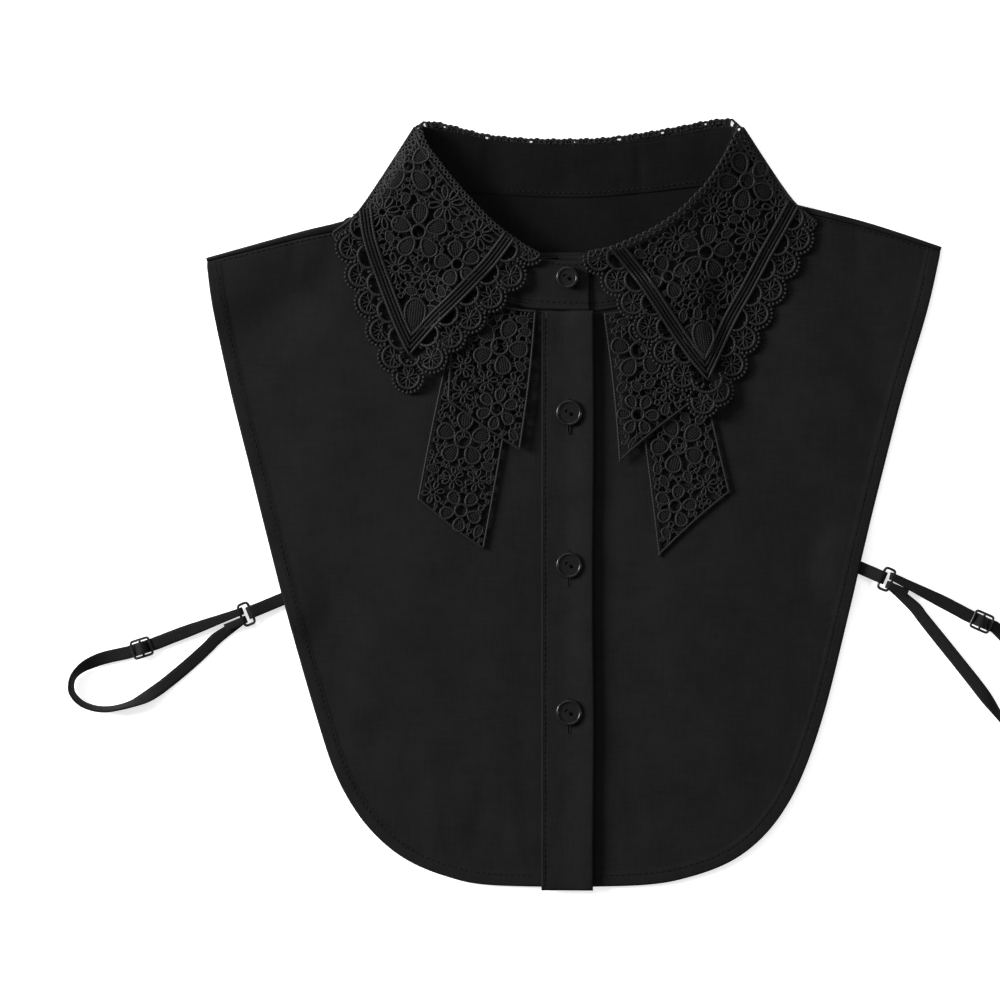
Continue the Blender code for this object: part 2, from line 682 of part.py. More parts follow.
def back_panel(collection):
    """The back panel, whose shoulders fold over to the front and meet the front panels there."""
    turns = {side: shoulder_turn(side) for side in (-1, 1)}
    folds = {side: turns[side][0][:, :2] for side in (-1, 1)}
    edges = {side: outer_edge(side, 12.0, inset=BACK_INSET) for side in (-1, 1)}
    edges = {side: e[(e[:, 1] < folds[side][0, 1] - 2) & ((e[:, 0] - CENTRE_X) * side > 5)]
             for side, e in edges.items()}
    neck = spline(BACK_NECK, 9.0)
    neck = neck[(neck[:, 0] > folds[-1][-1, 0] + 2) & (neck[:, 0] < folds[1][-1, 0] - 2)]
    neck[:, 1] -= GAP
    hem = [[CENTRE_X, edges[-1][-1, 1] - 1.0]]
    outline = np.concatenate([folds[-1], neck, folds[1][::-1], edges[1], hem, edges[-1][::-1]])
    flat, faces = region(outline, lines=ramp_lines(), spacing=18.0)
    points = [np.column_stack([flat, back_under(flat[:, 0], flat[:, 1])])]
    faces = faces.tolist()
    for turn in turns.values():
        start = sum(map(len, points))
        faces += [[start + i for i in face] for face in grid_faces(*turn.shape[:2])]
        points.append(turn.reshape(-1, 3))
    return cloth_wall("back_panel", np.concatenate(points), faces, CLOTH, "black_cotton", collection)


def placket(collection):
    """The placket lies along the centre front over the edges of both front panels."""
    across = np.linspace(PLACKET_LEFT, PLACKET_RIGHT, 7)
    along = np.linspace(PLACKET_BOTTOM, PLACKET_TOP, 22)
    x, y = np.meshgrid(across, along)
    z = placket_under(x, y)
    points = np.stack([x, y, z], axis=2).reshape(-1, 3)
    return cloth_wall("placket", points, grid_faces(*x.shape), PLACKET, "black_cotton", collection)


def collar_stand(collection):
    """The stand runs from its under end round the back of the neck to the button tab."""
    line = spline(COLLAR_STAND, 9.0)
    bottom, top = line[:, :3], line[:, 3:]
    share = np.linspace(0, 1, 5)[:, None, None]
    grid = bottom + (top - bottom) * share
    points = grid.reshape(-1, 3)
    return cloth_wall("collar_stand", points, grid_faces(*grid.shape[:2]), STAND, "black_cotton",
                      collection, near=(CENTRE_X, 100.0, 8.0))


def scalloped(leg, out, border, first):
    """The scalloped edge beside a leg that runs from the tip, and the half-moons between its scallops."""
    fine = evenly(leg, SCALLOP_PITCH / SCALLOP_POINTS)
    step = np.linalg.norm(fine[1] - fine[0])
    repeat = np.arange(len(fine)) * step / SCALLOP_PITCH
    bulge = SCALLOP_DEPTH * (np.abs(np.sin(math.pi * (repeat - first))) ** 0.7 - 1)
    way = normals_of(fine) * out
    line = fine + way * (border + bulge)[:, None]
    centres = np.arange(first, repeat[-1] - MOON_LONG / SCALLOP_PITCH / 2, 1.0)
    places = np.stack([np.interp(centres, repeat, fine[:, k]) for k in (0, 1)], axis=1)
    ways = np.stack([np.interp(centres, repeat, way[:, k]) for k in (0, 1)], axis=1)
    return line, [half_moon(place, towards, MOON_BASE) for place, towards in zip(places, ways)]


def half_moon(at, out, base):
    """An open half-moon with its flat side towards the corded band."""
    out = out / np.linalg.norm(out)
    along = np.array([-out[1], out[0]])
    turn = np.radians(np.arange(-15, 196, 30))
    rise = np.maximum(np.sin(turn), -0.1)
    return at + out * base + np.outer(np.cos(turn) * MOON_LONG / 2, along) + np.outer(rise * MOON_WIDE, out)


def ring_of(centre, points=10):
    turn = np.arange(points) * 2 * math.pi / points
    return np.stack([centre.x + centre.radius * np.cos(turn), centre.y + centre.radius * np.sin(turn)], axis=1)


def border_of(side):
    """The scalloped edge of a leaf from the centre front to the side, its half-moons and its band."""
    rows = LEFT_BAND[::-1] if side < 0 else RIGHT_BAND
    tip_row = len(rows) - 1 - LEAF_TIP_ROW if side < 0 else LEAF_TIP_ROW
    front = spline(rows[:tip_row + 1], 2.0)[::-1]
    outer = spline(rows[tip_row:], 2.0)
    tip = outer[0]
    border = BORDERS[side]
    first, front_moons = scalloped(front, -side, border.front, border.first_front)
    last, side_moons = scalloped(outer, side, border.side, border.first_side)
    first = first[::-1]
    share = np.linspace(0, 1, 13)[1:-1]
    ends = [math.atan2(*(end - tip)[::-1]) for end in (first[-1], last[0])]
    reaches = [np.linalg.norm(end - tip) for end in (first[-1], last[0])]
    turn = ends[0] + (ends[1] - ends[0]) * share
    level = reaches[0] + (reaches[1] - reaches[0]) * share
    reach = level + (border.tip - sum(reaches) / 2) * np.sin(math.pi * share)
    fan = tip + np.stack([np.cos(turn), np.sin(turn)], axis=1) * reach[:, None]
    moons = [*front_moons, *side_moons, half_moon(tip, np.array([0.0, -1.0]), MOON_TIP_BASE)]
    band = np.concatenate([front[::-1], outer[1:]])
    return np.concatenate([first, fan, last]), moons, band


def lace_leaf(side, collection):
    """One pointed half of the lace collar: roll line, side fold, corded V and scalloped border."""
    edge, moons, band = border_of(side)
    fold = FOLD_LINES[side]
    roll = ROLL_LINES[side]
    edge = edge[(edge[:, 1] < fold[-1, 1] - 1.5) | (np.abs(edge[:, 0] - CENTRE_X) < 60)]
    outline = np.concatenate([roll, edge, fold[:0:-1]])
    centres = LEFT_CENTRES if side < 0 else RIGHT_CENTRES
    holes = [ring_of(c) for c in centres]
    holes += [m for m in moons if inside(m, outline).all()
              and nearest(m, np.concatenate([outline, outline[:1]]))[0].min() > 1.0]
    lines = [band + normals_of(band) * d for d in
             (-BAND_WIDTH / 2 - BAND_STEP, -BAND_WIDTH / 2, BAND_WIDTH / 2, BAND_WIDTH / 2 + BAND_STEP)]
    flat, faces = region(outline, holes, [evenly(line, 5.0) for line in lines], spacing=10.0)
    points = np.column_stack([flat, leaf_under(flat[:, 0], flat[:, 1], side)])

    def shares(place):
        away = nearest(place[:, :2], band)[0]
        return np.where(away < BAND_WIDTH / 2 + BAND_STEP / 2, 1.0, LACE / (LACE + BAND_RAISE))

    name = "lace_leaf_left" if side < 0 else "lace_leaf_right"
    return cloth_wall(name, points, faces, LACE + BAND_RAISE, "black_lace", collection, shares)


def lace_back(collection):
    """The back of the lace collar lies on the table under the back panel."""
    fall = spline(BACK_FALL, 2.0)
    long = np.linalg.norm(np.diff(fall, axis=0), axis=1).sum()
    repeats = round(long / SCALLOP_PITCH)
    at = np.arange(repeats * 5 + 1) / 5
    fine = evenly(fall, long / (repeats * 5))
    bulge = SCALLOP_DEPTH * np.sin(math.pi * (at % 1.0)) ** 0.7
    lower = fine + normals_of(fine) * bulge[:, None]
    left = FOLD_LINES[-1][2:]
    right = FOLD_LINES[1][2:]
    left = left[left[:, 1] > fine[0, 1] + 2.0]
    right = right[right[:, 1] > fine[-1, 1] + 2.0]
    outline = np.concatenate([spline(BACK_ROLL, 6.0), right, lower[::-1], left[::-1]])
    flat, faces = region(outline, [ring_of(c) for c in BACK_CENTRES], spacing=16.0)
    points = np.column_stack([flat, np.zeros(len(flat))])
    return cloth_wall("lace_back", points, faces, LACE, "black_lace", collection)


def lace_tail(row, collection):
    """One ribbon of lace from the neck seam down to its slanted end."""
    corners = [np.array(c) for c in (row.outer_top, row.inner_top, row.inner_end, row.outer_end)]
    sides = []
    for a, b in zip(corners, corners[1:] + corners[:1]):
        count = max(2, round(np.linalg.norm(b - a) / 9.0))
        share = np.arange(count)[:, None] / count
        way = (b - a) / np.linalg.norm(b - a)
        most = TAIL_TOP_SAG * row.side if a is corners[0] else TAIL_BOW
        bow = np.sin(share * math.pi) * most * np.array([[-way[1], way[0]]])
        sides.append(a + (b - a) * share + bow)
    outline = np.concatenate(sides)
    flat, faces = region(outline, [ring_of(c, 12) for c in row.centres], spacing=13.0)
    points = np.column_stack([flat, tail_under(flat[:, 0], flat[:, 1], row.layer, row.side)])
    return cloth_wall(row.name, points, faces, LACE, "black_lace", collection)


def button(row, collection, cutters):
    """A flat two-hole button: a turned profile with a raised rim, and two holes on a diagonal."""
    radius, top, dish = row.radius, BUTTON_THICK, BUTTON_THICK - BUTTON_DISH
    profile = [
        (0.0, dish), (radius - BUTTON_RIM - 0.6, dish), (radius - BUTTON_RIM, top), (radius - 0.5, top - 0.1),
        (radius, top - 0.7), (radius, 0.5), (radius - 0.5, 0.0), (0.0, 0.0),
    ]
    mesh = bpy.data.meshes.new(row.name)
    points = [(r * MM, 0.0, z * MM) for r, z in profile]
    mesh.from_pydata(points, [(i, i + 1) for i in range(len(points) - 1)], [])
    made = add_object(row.name, mesh, "black_button", collection)
    made.location = (row.x * MM, row.y * MM, row.seat * MM)
    screw = made.modifiers.new("turned", "SCREW")
    screw.steps = screw.render_steps = 24
    screw.use_merge_vertices = True
    screw.merge_threshold = 0.00001
    for way in (-1, 1):
        drill = bpy.data.meshes.new(f"{row.name}_hole")
        bm = bmesh.new()
        bmesh.ops.create_cone(bm, cap_ends=True, segments=10, radius1=BUTTON_HOLE_RADIUS * MM,
                              radius2=BUTTON_HOLE_RADIUS * MM, depth=4 * BUTTON_THICK * MM)
        bm.to_mesh(drill)
        bm.free()
        cutter = bpy.data.objects.new(drill.name, drill)
        cutters.objects.link(cutter)
        cutter.parent = made
        apart = way * BUTTON_HOLE_APART * MM
        cutter.location = (apart * math.cos(BUTTON_TURN), apart * math.sin(BUTTON_TURN), 0.0)
        cutter.hide_render = True
        cutter.display_type = "WIRE"
        cut = made.modifiers.new("hole", "BOOLEAN")
        cut.operation = "DIFFERENCE"
        cut.solver = "EXACT"
        cut.object = cutter


def swept(name, sections, finish, collection):
    """A body from a row of sections with the same number of points, its ends filled."""
    sections = np.asarray(sections)
    count, sides = sections.shape[:2]
    faces = []
    for a in range(0, (count - 1) * sides, sides):
        b = a + sides
        faces += [(a + k, a + (k + 1) % sides, b + (k + 1) % sides, b + k) for k in range(sides)]
    faces += [tuple(range(sides))[::-1], tuple(range((count - 1) * sides, count * sides))]
    return add_object(name, mesh_of(name, sections.reshape(-1, 3), faces), finish, collection)


def flat_band(name, path, widths, turns, finish, collection):
    """A flat band of the strap's thickness along a path, twisted by the given turns in degrees."""
    way = np.gradient(path, axis=0)
    way /= np.linalg.norm(way, axis=1)[:, None]
    across = np.cross(way[0], (0, 0, 1.0))
    sections = []
    for place, ahead, wide, turn in zip(path, way, widths, np.radians(turns)):
        across = across - ahead * across.dot(ahead)
        across /= np.linalg.norm(across)
        flat = np.cross(ahead, across)
        side = across * math.cos(turn) + flat * math.sin(turn)
        face = flat * math.cos(turn) - across * math.sin(turn)
        sections.append([place + side * (wide / 2) * u + face * (STRAP / 2) * v
                         for u, v in ((-1, -1), (1, -1), (1, 1), (-1, 1))])
    return swept(name, sections, finish, collection)


def heading(degrees):
    turn = math.radians(degrees)
    return np.array([math.cos(turn), math.sin(turn)])


def slider_way(row):
    """The way from the slider to the adjuster's place on the ring."""
    ring_centre = np.array([row.ring_x, row.ring_y])
    way = ring_centre - np.array([row.slider_x, row.slider_y])
    return way / np.linalg.norm(way)


def strap_path(row):
    """The strap: its folded end at the ring, the outer strand round the loop, the slider, the ring
    again and the short layer that ends under the slider. Columns: x, y, z, turn, width."""
    ring = np.array([row.ring_x, row.ring_y])
    slider = np.array([row.slider_x, row.slider_y])
    away = -heading(row.ring_turn)
    along = np.array([-away[1], away[0]]) * (-1 if row.side == "left" else 1)
    wire = ring + away * (RING_WIDE / 2)
    low = STRAP / 2 + STRAP_CLEAR
    outer = wire - along * RING_SHARE
    inner = wire + along * RING_SHARE
    rows = []
    for back, z in ((9.0, low + 2.4), (5.0, low + 2.8)):
        rows.append((*(outer + away * back), z, 0, RETURN_WIDTH))
    rows += hairpin(outer, away, RETURN_WIDTH, down=True)
    route = spline(ROUTES[row.side], 6.5, columns=2)
    sign = 1 if row.side == "left" else -1
    for x, y, turn, width in route:
        lift = (width / 2) * abs(math.sin(math.radians(turn))) + (STRAP / 2) * abs(math.cos(math.radians(turn)))
        rows.append((x, y, lift + STRAP_LIFT, turn * sign, width))
    ahead = slider_way(row)
    half = SLIDER_LONG / 2
    for u, z in ((-half - 2.2, low), (-half + SLIDER_BAR / 2, low), (-2.4, 2.5), (-1.1, SLIDER_OVER),
                 (1.1, SLIDER_OVER), (2.4, 2.5), (half - SLIDER_BAR / 2, low), (half + 3.0, low)):
        rows.append((*(slider + ahead * u), z, 0, STRAP_WIDTH))
    reach = np.linalg.norm(inner - slider)
    for u, width in ((0.35, 6.0), (0.6, 5.4), (0.8, 4.4)):
        rows.append((*(slider + (inner - slider) * u), low, 0, width))
    back = hairpin(inner, away, ADJUSTER_WIDTH, down=False)
    rows += back
    for u, z, width in ((0.8, low + 2.4, 4.4), (0.6, low + 1.9, 5.4), (0.42, low + 1.5, 6.0)):
        rows.append((*(slider + (inner - slider) * u), z, 0, width))
    rows.append((*(slider + ahead * (half + 0.2)), low + STRAP + GAP, 0, STRAP_WIDTH))
    rows.append((*(slider + ahead * (half - SLIDER_BAR + 0.2)), low + STRAP + GAP, 0, STRAP_WIDTH))
    return np.array(rows)


def hairpin(at, away, width, down):
    """The half turn of a strap round the ring's wire, from above down or from below up."""
    turn = np.radians(np.arange(0, 181, 30))
    rows = [(*(at - away * HAIRPIN_RADIUS * math.sin(t)), RING_Z + HAIRPIN_RADIUS * math.cos(t), 0, width)
            for t in turn]
    return rows if down else rows[::-1]


def strap(row, collection):
    line = strap_path(row)
    return flat_band(f"strap_{row.side}", line[:, :3], line[:, 4], line[:, 3], "black_elastic", collection)


def strap_tab(row, collection):
    """The doubled tab that holds the ring at the armhole edge."""
    towards = heading(row.ring_turn)
    ring = np.array([row.ring_x, row.ring_y])
    wire = ring + towards * (RING_WIDE / 2)
    rows = []
    reach = row.tab_length + row.tab_tuck
    for u, z in ((reach, 0.65), (reach * 0.6, 0.65), (reach * 0.3, 0.65)):
        rows.append((*(wire + towards * u), z))
    turn = np.radians(np.arange(180, -1, -30))
    rows += [(*(wire - towards * HAIRPIN_RADIUS * math.sin(t)), RING_Z + HAIRPIN_RADIUS * math.cos(t))
             for t in turn]
    for u, z in ((reach * 0.3, 2.9), (reach * 0.6, 2.1), (reach, 1.95)):
        rows.append((*(wire + towards * u), z))
    path = np.array(rows)
    widths = np.full(len(path), STRAP_WIDTH)
    return flat_band(f"tab_{row.side}", path, widths, np.zeros(len(path)), "black_elastic", collection)


def ring(row, collection):
    """The oval ring between the tab and the strap."""
    towards = heading(row.ring_turn)
    side = np.array([-towards[1], towards[0]])
    turn = np.arange(28) * 2 * math.pi / 28
    c, s = np.cos(turn), np.sin(turn)
    u = np.sign(c) * np.abs(c) ** RING_SQUARE * RING_LONG / 2
    v = np.sign(s) * np.abs(s) ** RING_SQUARE * RING_WIDE / 2
    centre = np.array([row.ring_x, row.ring_y]) + np.outer(u, side) + np.outer(v, towards)
    curve = bpy.data.curves.new(f"ring_{row.side}", "CURVE")
    curve.dimensions = "3D"
    wire = curve.splines.new("POLY")
    wire.points.add(len(turn) - 1)
    for point, (x, y) in zip(wire.points, centre):
        point.co = (x * MM, y * MM, RING_Z * MM, 1.0)
    wire.use_cyclic_u = True
    curve.bevel_depth = RING_WIRE * MM
    curve.bevel_resolution = 2
    return add_object(curve.name, curve, "black_fitting", collection)


def slider(row, collection):
    """The slider: a frame with a bar across its middle."""
    centre = np.array([row.slider_x, row.slider_y])
    ahead = slider_way(row)
    side = np.array([-ahead[1], ahead[0]])

    def corners(u0, u1, v0, v1):
        return [centre + ahead * u + side * v for u, v in ((u0, v0), (u1, v0), (u1, v1), (u0, v1))]

    long, wide = SLIDER_LONG / 2, SLIDER_WIDE / 2
    inner = wide - SLIDER_SIDE
    holes = [corners(-long + SLIDER_BAR, -SLIDER_BAR / 2, -inner, inner),
             corners(SLIDER_BAR / 2, long - SLIDER_BAR, -inner, inner)]
    flat, faces = region(corners(-long, long, -wide, wide), holes, spacing=20.0)
    points = np.column_stack([flat, np.full(len(flat), SLIDER_Z)])
    made = cloth_wall(f"slider_{row.side}", points, faces, SLIDER_THICK, "black_fitting", collection)
    bevel = made.modifiers.new("softened", "BEVEL")
    bevel.width = 0.2 * MM
    bevel.segments = 1
    bevel.limit_method = "ANGLE"
    return made


def main():
    clear_scene()
    parts = new_collection("lace collar")
    cutters = new_collection("cutters")
    lace_back(parts)
    back_panel(parts)
    for side in (-1, 1):
        front_panel(side, parts)
        lace_leaf(side, parts)
    placket(parts)
    collar_stand(parts)
    for row in TAILS:
        lace_tail(row, parts)
    for row in BUTTONS:
        button(row, parts, cutters)
    for row in STRAPS:
        strap_tab(row, parts)
        ring(row, parts)
        strap(row, parts)
        slider(row, parts)


main()
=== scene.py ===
# %% [markdown]
# # A detachable shirt front with a lace collar
# The real object is a false shirt front of black cotton: two front panels that button down the
# middle, a back panel, and a pointed collar of heavy black lace with four loose lace tails. It lies
# flat on a pale table and is seen from straight above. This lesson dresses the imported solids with
# cloth, cord and thread, worked out as arrays of points.

# %% Load the frame
import math
from collections import namedtuple

import bmesh
import bpy
import numpy as np
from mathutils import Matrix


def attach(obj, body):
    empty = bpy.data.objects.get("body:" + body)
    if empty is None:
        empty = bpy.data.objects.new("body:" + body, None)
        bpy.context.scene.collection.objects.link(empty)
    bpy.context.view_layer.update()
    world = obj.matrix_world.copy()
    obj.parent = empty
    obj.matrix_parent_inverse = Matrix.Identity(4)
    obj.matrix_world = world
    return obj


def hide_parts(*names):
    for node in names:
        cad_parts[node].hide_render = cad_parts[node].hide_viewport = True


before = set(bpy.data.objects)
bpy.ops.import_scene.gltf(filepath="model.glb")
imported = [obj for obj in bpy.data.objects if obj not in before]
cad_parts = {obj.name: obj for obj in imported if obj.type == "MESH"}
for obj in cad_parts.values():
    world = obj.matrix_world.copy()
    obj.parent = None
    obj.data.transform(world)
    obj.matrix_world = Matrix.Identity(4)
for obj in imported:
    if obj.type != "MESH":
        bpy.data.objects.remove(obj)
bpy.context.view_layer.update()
MM = 0.001
print("nodes", len(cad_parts), "quick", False)

# %% [markdown]
# ## Named sizes
# Every length below is in millimetres, in the frame of the solids: +X to the right, +Y from the hem
# to the collar, +Z up, and the table at z = 0. The cloth pieces share these edges, so that each one
# stays inside the solid that it stands for.

# %% Cloth sizes and the main edges
CLOTH, LACE, STAND, PLACKET, STRAP, GAP = 1.0, 1.2, 1.2, 1.4, 1.0, 0.3
CENTRE_X = 3.5
PLACKET_LEFT, PLACKET_RIGHT = -9.0, 15.5
PLACKET_BOTTOM, PLACKET_TOP = -181.4, 90.8
HEM_WIDTH, HEM_RAISE, HEM_STITCH = 6.5, 0.4, 5.3
LAP_LEFT, HEM_Y = 6.0, -180.0
BACK_INSET, TIP_TAPER = 8.0, 42.0
SEAM_AT_TIP, SEAM_AT_NECK = 1.8, {-1: 4.6, 1: 3.2}
FOLD_BULGE, FOLD_RISE = 1.3, 0.4

SIDE_ROWS = (  # y, left x, right x of the armhole edge and the hem
    (91.2, -163.1, 172.4), (53.6, -155.1, 161.3), (16.0, -145.7, 151.6), (-21.6, -136.3, 142.3),
    (-59.2, -126.4, 133.6), (-96.8, -115.6, 124.2), (-125.0, -106.4, 114.6), (-143.8, -96.4, 105.0),
    (-158.0, -84.4, 93.4), (-168.4, -70.0, 79.0), (-175.4, -52.0, 60.0), (-178.9, -34.0, 40.0),
)
LEFT_SHOULDER = ((-166.4, 115.6), (-139.6, 123.1), (-120.8, 128.3), (-102.0, 133.0), (-87.9, 138.6),
                 (-79.0, 145.0))
RIGHT_SHOULDER = ((179.1, 120.8), (161.2, 126.9), (142.4, 132.8), (123.6, 137.6), (104.0, 142.6),
                  (92.4, 147.8))
LEFT_NECK = ((-9.0, 92.6), (-29.1, 96.8), (-47.9, 105.8), (-63.0, 119.4), (-72.4, 133.0), (-76.6, 146.6))
RIGHT_NECK = ((-2.0, 91.6), (15.5, 91.4), (36.7, 95.9), (57.8, 105.3), (74.3, 119.4), (84.6, 133.5),
              (89.8, 149.0))
BACK_NECK = ((-76.6, 146.6), (-57.3, 145.7), (-39.5, 144.8), (-19.7, 143.6), (0.0, 142.9), (18.0, 143.1),
             (41.4, 145.2), (60.2, 147.4), (76.6, 148.8), (89.8, 149.0))
NECK_LIFT, NECK_LIFT_REACH, NECK_SEAM, NECK_TUCK = 2.2, 26.0, 0.7, 4.0
LACE_REST_Y, LACE_REST_RAMP = 107.0, 12.0
LACE_REST_X, LACE_REST_HALF = 7.0, 120.0
print("half width at the shoulders", RIGHT_SHOULDER[0][0] - LEFT_SHOULDER[0][0])

# %% Lines and distances


def ease(t):
    """0 up to t = 0, 1 from t = 1, and 3 t squared less 2 t cubed between."""
    t = np.clip(t, 0.0, 1.0)
    return t * t * (3.0 - 2.0 * t)


def evenly(line, step, measured=2):
    """The same line with points spaced evenly along its first measured columns."""
    long = np.linalg.norm(np.diff(line[:, :measured], axis=0), axis=1)
    along = np.concatenate([[0], np.cumsum(long)])
    at = np.linspace(0, along[-1], max(2, round(along[-1] / step) + 1))
    return np.stack([np.interp(at, along, line[:, k]) for k in range(line.shape[1])], axis=1)


def spline(rows, step, columns=None):
    """A Catmull-Rom line through the rows, as points about one step apart."""
    rows = np.array([tuple(row) for row in rows], float)
    knots = np.concatenate([2 * rows[:1] - rows[1:2], rows, 2 * rows[-1:] - rows[-2:-1]])
    t = np.linspace(0, 1, 12, endpoint=False)[None, :, None]
    a, b, c, d = (knots[i:len(knots) - 3 + i, None] for i in range(4))
    line = 0.5 * (2 * b + (c - a) * t + (2 * a - 5 * b + 4 * c - d) * t**2 + (3 * b - a - 3 * c + d) * t**3)
    line = np.concatenate([line.reshape(-1, rows.shape[1]), rows[-1:]])
    return evenly(line, step, columns or line.shape[1])


def at_shares(line, shares):
    """Points of a line at the given shares of its length."""
    long = np.linalg.norm(np.diff(line, axis=0), axis=1)
    along = np.concatenate([[0], np.cumsum(long)]) / long.sum()
    return np.stack([np.interp(shares, along, line[:, k]) for k in range(line.shape[1])], axis=1)


def normals_of(line):
    """Unit normals to the right of a plane line, as it runs."""
    way = np.gradient(line[:, :2], axis=0)
    way /= np.maximum(np.linalg.norm(way, axis=1), 1e-9)[:, None]
    return np.stack([way[:, 1], -way[:, 0]], axis=1)


def nearest(points, line):
    """Distance from each point to a line, and the share of the line's length where that is."""
    points = np.atleast_2d(points)[:, :2]
    a, way = line[:-1, :2], np.diff(line[:, :2], axis=0)
    long = np.maximum(np.linalg.norm(way, axis=1), 1e-9)
    start = np.concatenate([[0], np.cumsum(long)])[:-1]
    away, share = [], []
    for part in np.array_split(points, max(1, len(points) // 8000)):
        t = np.clip(((part[:, None] - a) * way).sum(2) / long**2, 0, 1)
        gap = np.linalg.norm(part[:, None] - (a + t[..., None] * way), axis=2)
        best = gap.argmin(1)
        row = np.arange(len(part))
        away.append(gap[row, best])
        share.append((start[best] + t[row, best] * long[best]) / long.sum())
    return np.concatenate(away), np.concatenate(share)


def inside(points, loop):
    """Which points lie inside a closed loop, by counting the edges to their right."""
    x, y = points[:, 0][:, None], points[:, 1][:, None]
    ax, ay = loop[:, 0], loop[:, 1]
    bx, by = np.roll(ax, -1), np.roll(ay, -1)
    crosses = (ay > y) != (by > y)
    with np.errstate(divide="ignore", invalid="ignore"):
        at = (bx - ax) * (y - ay) / (by - ay) + ax
    return (np.count_nonzero(crosses & (x < at), axis=1) % 2).astype(bool)


SHOULDERS = {-1: spline(LEFT_SHOULDER, 1.5), 1: spline(RIGHT_SHOULDER, 1.5)}
NECKS = {-1: spline(LEFT_NECK, 1.5), 1: spline(RIGHT_NECK, 1.5)}
print("shoulder length", round(float(np.linalg.norm(np.diff(SHOULDERS[1], axis=0), axis=1).sum()), 1))

# %% [markdown]
# ## How the layers lie
# Nothing here is hung or draped: each layer rests on the one below. So every layer's height is a
# function of the place on the table, and the next layer's height adds the cloth and a small gap.

# %% Heights of the cloth layers
CORNER_FOLD, CORNER_RISE = (-108.3, 117.0), 4.4
TAB_ENDS = ((-131.7, -45.1), (140.4, -29.8))


def back_under(x, y):
    """The back panel lies flat and rises in a straight ramp over the lace under its neck."""
    lift = (y - LACE_REST_Y) / LACE_REST_RAMP
    side = (LACE_REST_HALF + 12.0 - np.abs(x - LACE_REST_X)) / 12.0
    return (LACE + GAP) * np.clip(np.minimum(lift, side), 0, 1)


def front_wave(x, y):
    """Two low bell-shaped swells on each half, and a step up across the left shoulder's corner."""
    side = np.abs(x - CENTRE_X)
    swell = 1.5 * np.exp(-(((side - 74) / 34) ** 2) - ((y + 30) / 90) ** 2)
    beyond = -0.64 * (x - CORNER_FOLD[0]) + 0.77 * (y - CORNER_FOLD[1])
    corner = CORNER_RISE * ease((beyond + 8) / 32) * ease((-x - 98) / 24)
    return swell + 0.9 * np.exp(-(((side - 112) / 22) ** 2) - ((y - 62) / 40) ** 2) + corner


def tab_lift(x, y):
    """The hem rises where the sewn end of an elastic tab lies under it."""
    return sum(2.0 * ease((26 - np.hypot(x - tx, y - ty)) / 16) for tx, ty in TAB_ENDS)


def front_under(x, y):
    """Back panel, cloth, gap, swells, tabs, and a rise of NECK_LIFT towards the neck seam."""
    points = np.stack([np.ravel(x), np.ravel(y)], axis=1)
    to_neck = np.minimum(nearest(points, NECKS[-1])[0], nearest(points, NECKS[1][8:])[0])
    lift = (NECK_LIFT * ease(1 - to_neck / NECK_LIFT_REACH)).reshape(np.shape(x))
    return back_under(x, y) + CLOTH + GAP + front_wave(x, y) + tab_lift(x, y) + lift


def front_top(x, y):
    """The upper face of the front panels."""
    return front_under(x, y) + CLOTH


print("front panel's top at its middle", round(float(front_top(np.array([-70.0]), np.array([-30.0]))[0]), 2))

# %% [markdown]
# ## Meshes from arrays
# A piece is a grid of points or a set of cords. The points go into the mesh in one call, and the
# faces are worked out from the shape of the grid.

# %% Mesh helpers


def mesh_from(name, points, faces, uv=None):
    """A mesh in metres. faces is a list of arrays, each with one number of corners a face."""
    faces = [np.asarray(f, np.int32) for f in faces if len(f)]
    sizes = np.concatenate([np.full(len(f), f.shape[1]) for f in faces])
    loops = np.concatenate([f.ravel() for f in faces])
    mesh = bpy.data.meshes.new(name)
    mesh.vertices.add(len(points))
    mesh.vertices.foreach_set("co", (np.asarray(points, np.float32) * MM).ravel())
    mesh.loops.add(len(loops))
    mesh.loops.foreach_set("vertex_index", loops)
    mesh.polygons.add(len(sizes))
    mesh.polygons.foreach_set("loop_start", (np.cumsum(sizes) - sizes).astype(np.int32))
    mesh.update(calc_edges=True)
    if uv is not None:
        layer = mesh.uv_layers.new(name="along")
        layer.data.foreach_set("uv", np.asarray(uv, np.float32).ravel())
    mesh.shade_smooth()
    return mesh


def grid_faces(rows, columns, start=0):
    """The four-sided faces of a grid of points, row after row."""
    at = np.arange(rows * columns).reshape(rows, columns) + start
    return np.stack([at[:-1, :-1], at[:-1, 1:], at[1:, 1:], at[1:, :-1]], axis=2).reshape(-1, 4)


def dressed(name, mesh, look, nodes=()):
    """An object for a finished mesh, with its material, riding on the body and replacing its nodes."""
    made = bpy.data.objects.new(name, mesh)
    mesh.materials.append(look)
    bpy.context.scene.collection.objects.link(made)
    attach(made, "root")
    if nodes:
        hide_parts(*nodes)
    return made


def walled(made, thick, offset):
    """Gives an open sheet its thickness: offset -1 grows below the faces, 1 above them."""
    wall = made.modifiers.new("wall", "SOLIDIFY")
    wall.thickness = thick * MM
    wall.offset = offset
    return made


def coons(bottom, top, left, right):
    """A Coons patch: the two ruled surfaces between opposite sides, added, less the corners' plane one."""
    def shares(a, b):
        long = sum(np.linalg.norm(np.diff(s, axis=0), axis=1) for s in (a, b))
        return np.concatenate([[0], np.cumsum(long)]) / long.sum()
    u = shares(bottom, top)[None, :, None]
    v = shares(left, right)[:, None, None]
    ruled = (1 - v) * bottom[None] + v * top[None] + (1 - u) * left[:, None] + u * right[:, None]
    plane = ((1 - u) * (1 - v) * bottom[0] + u * (1 - v) * bottom[-1] + (1 - u) * v * top[0]
             + u * v * top[-1])
    return ruled - plane


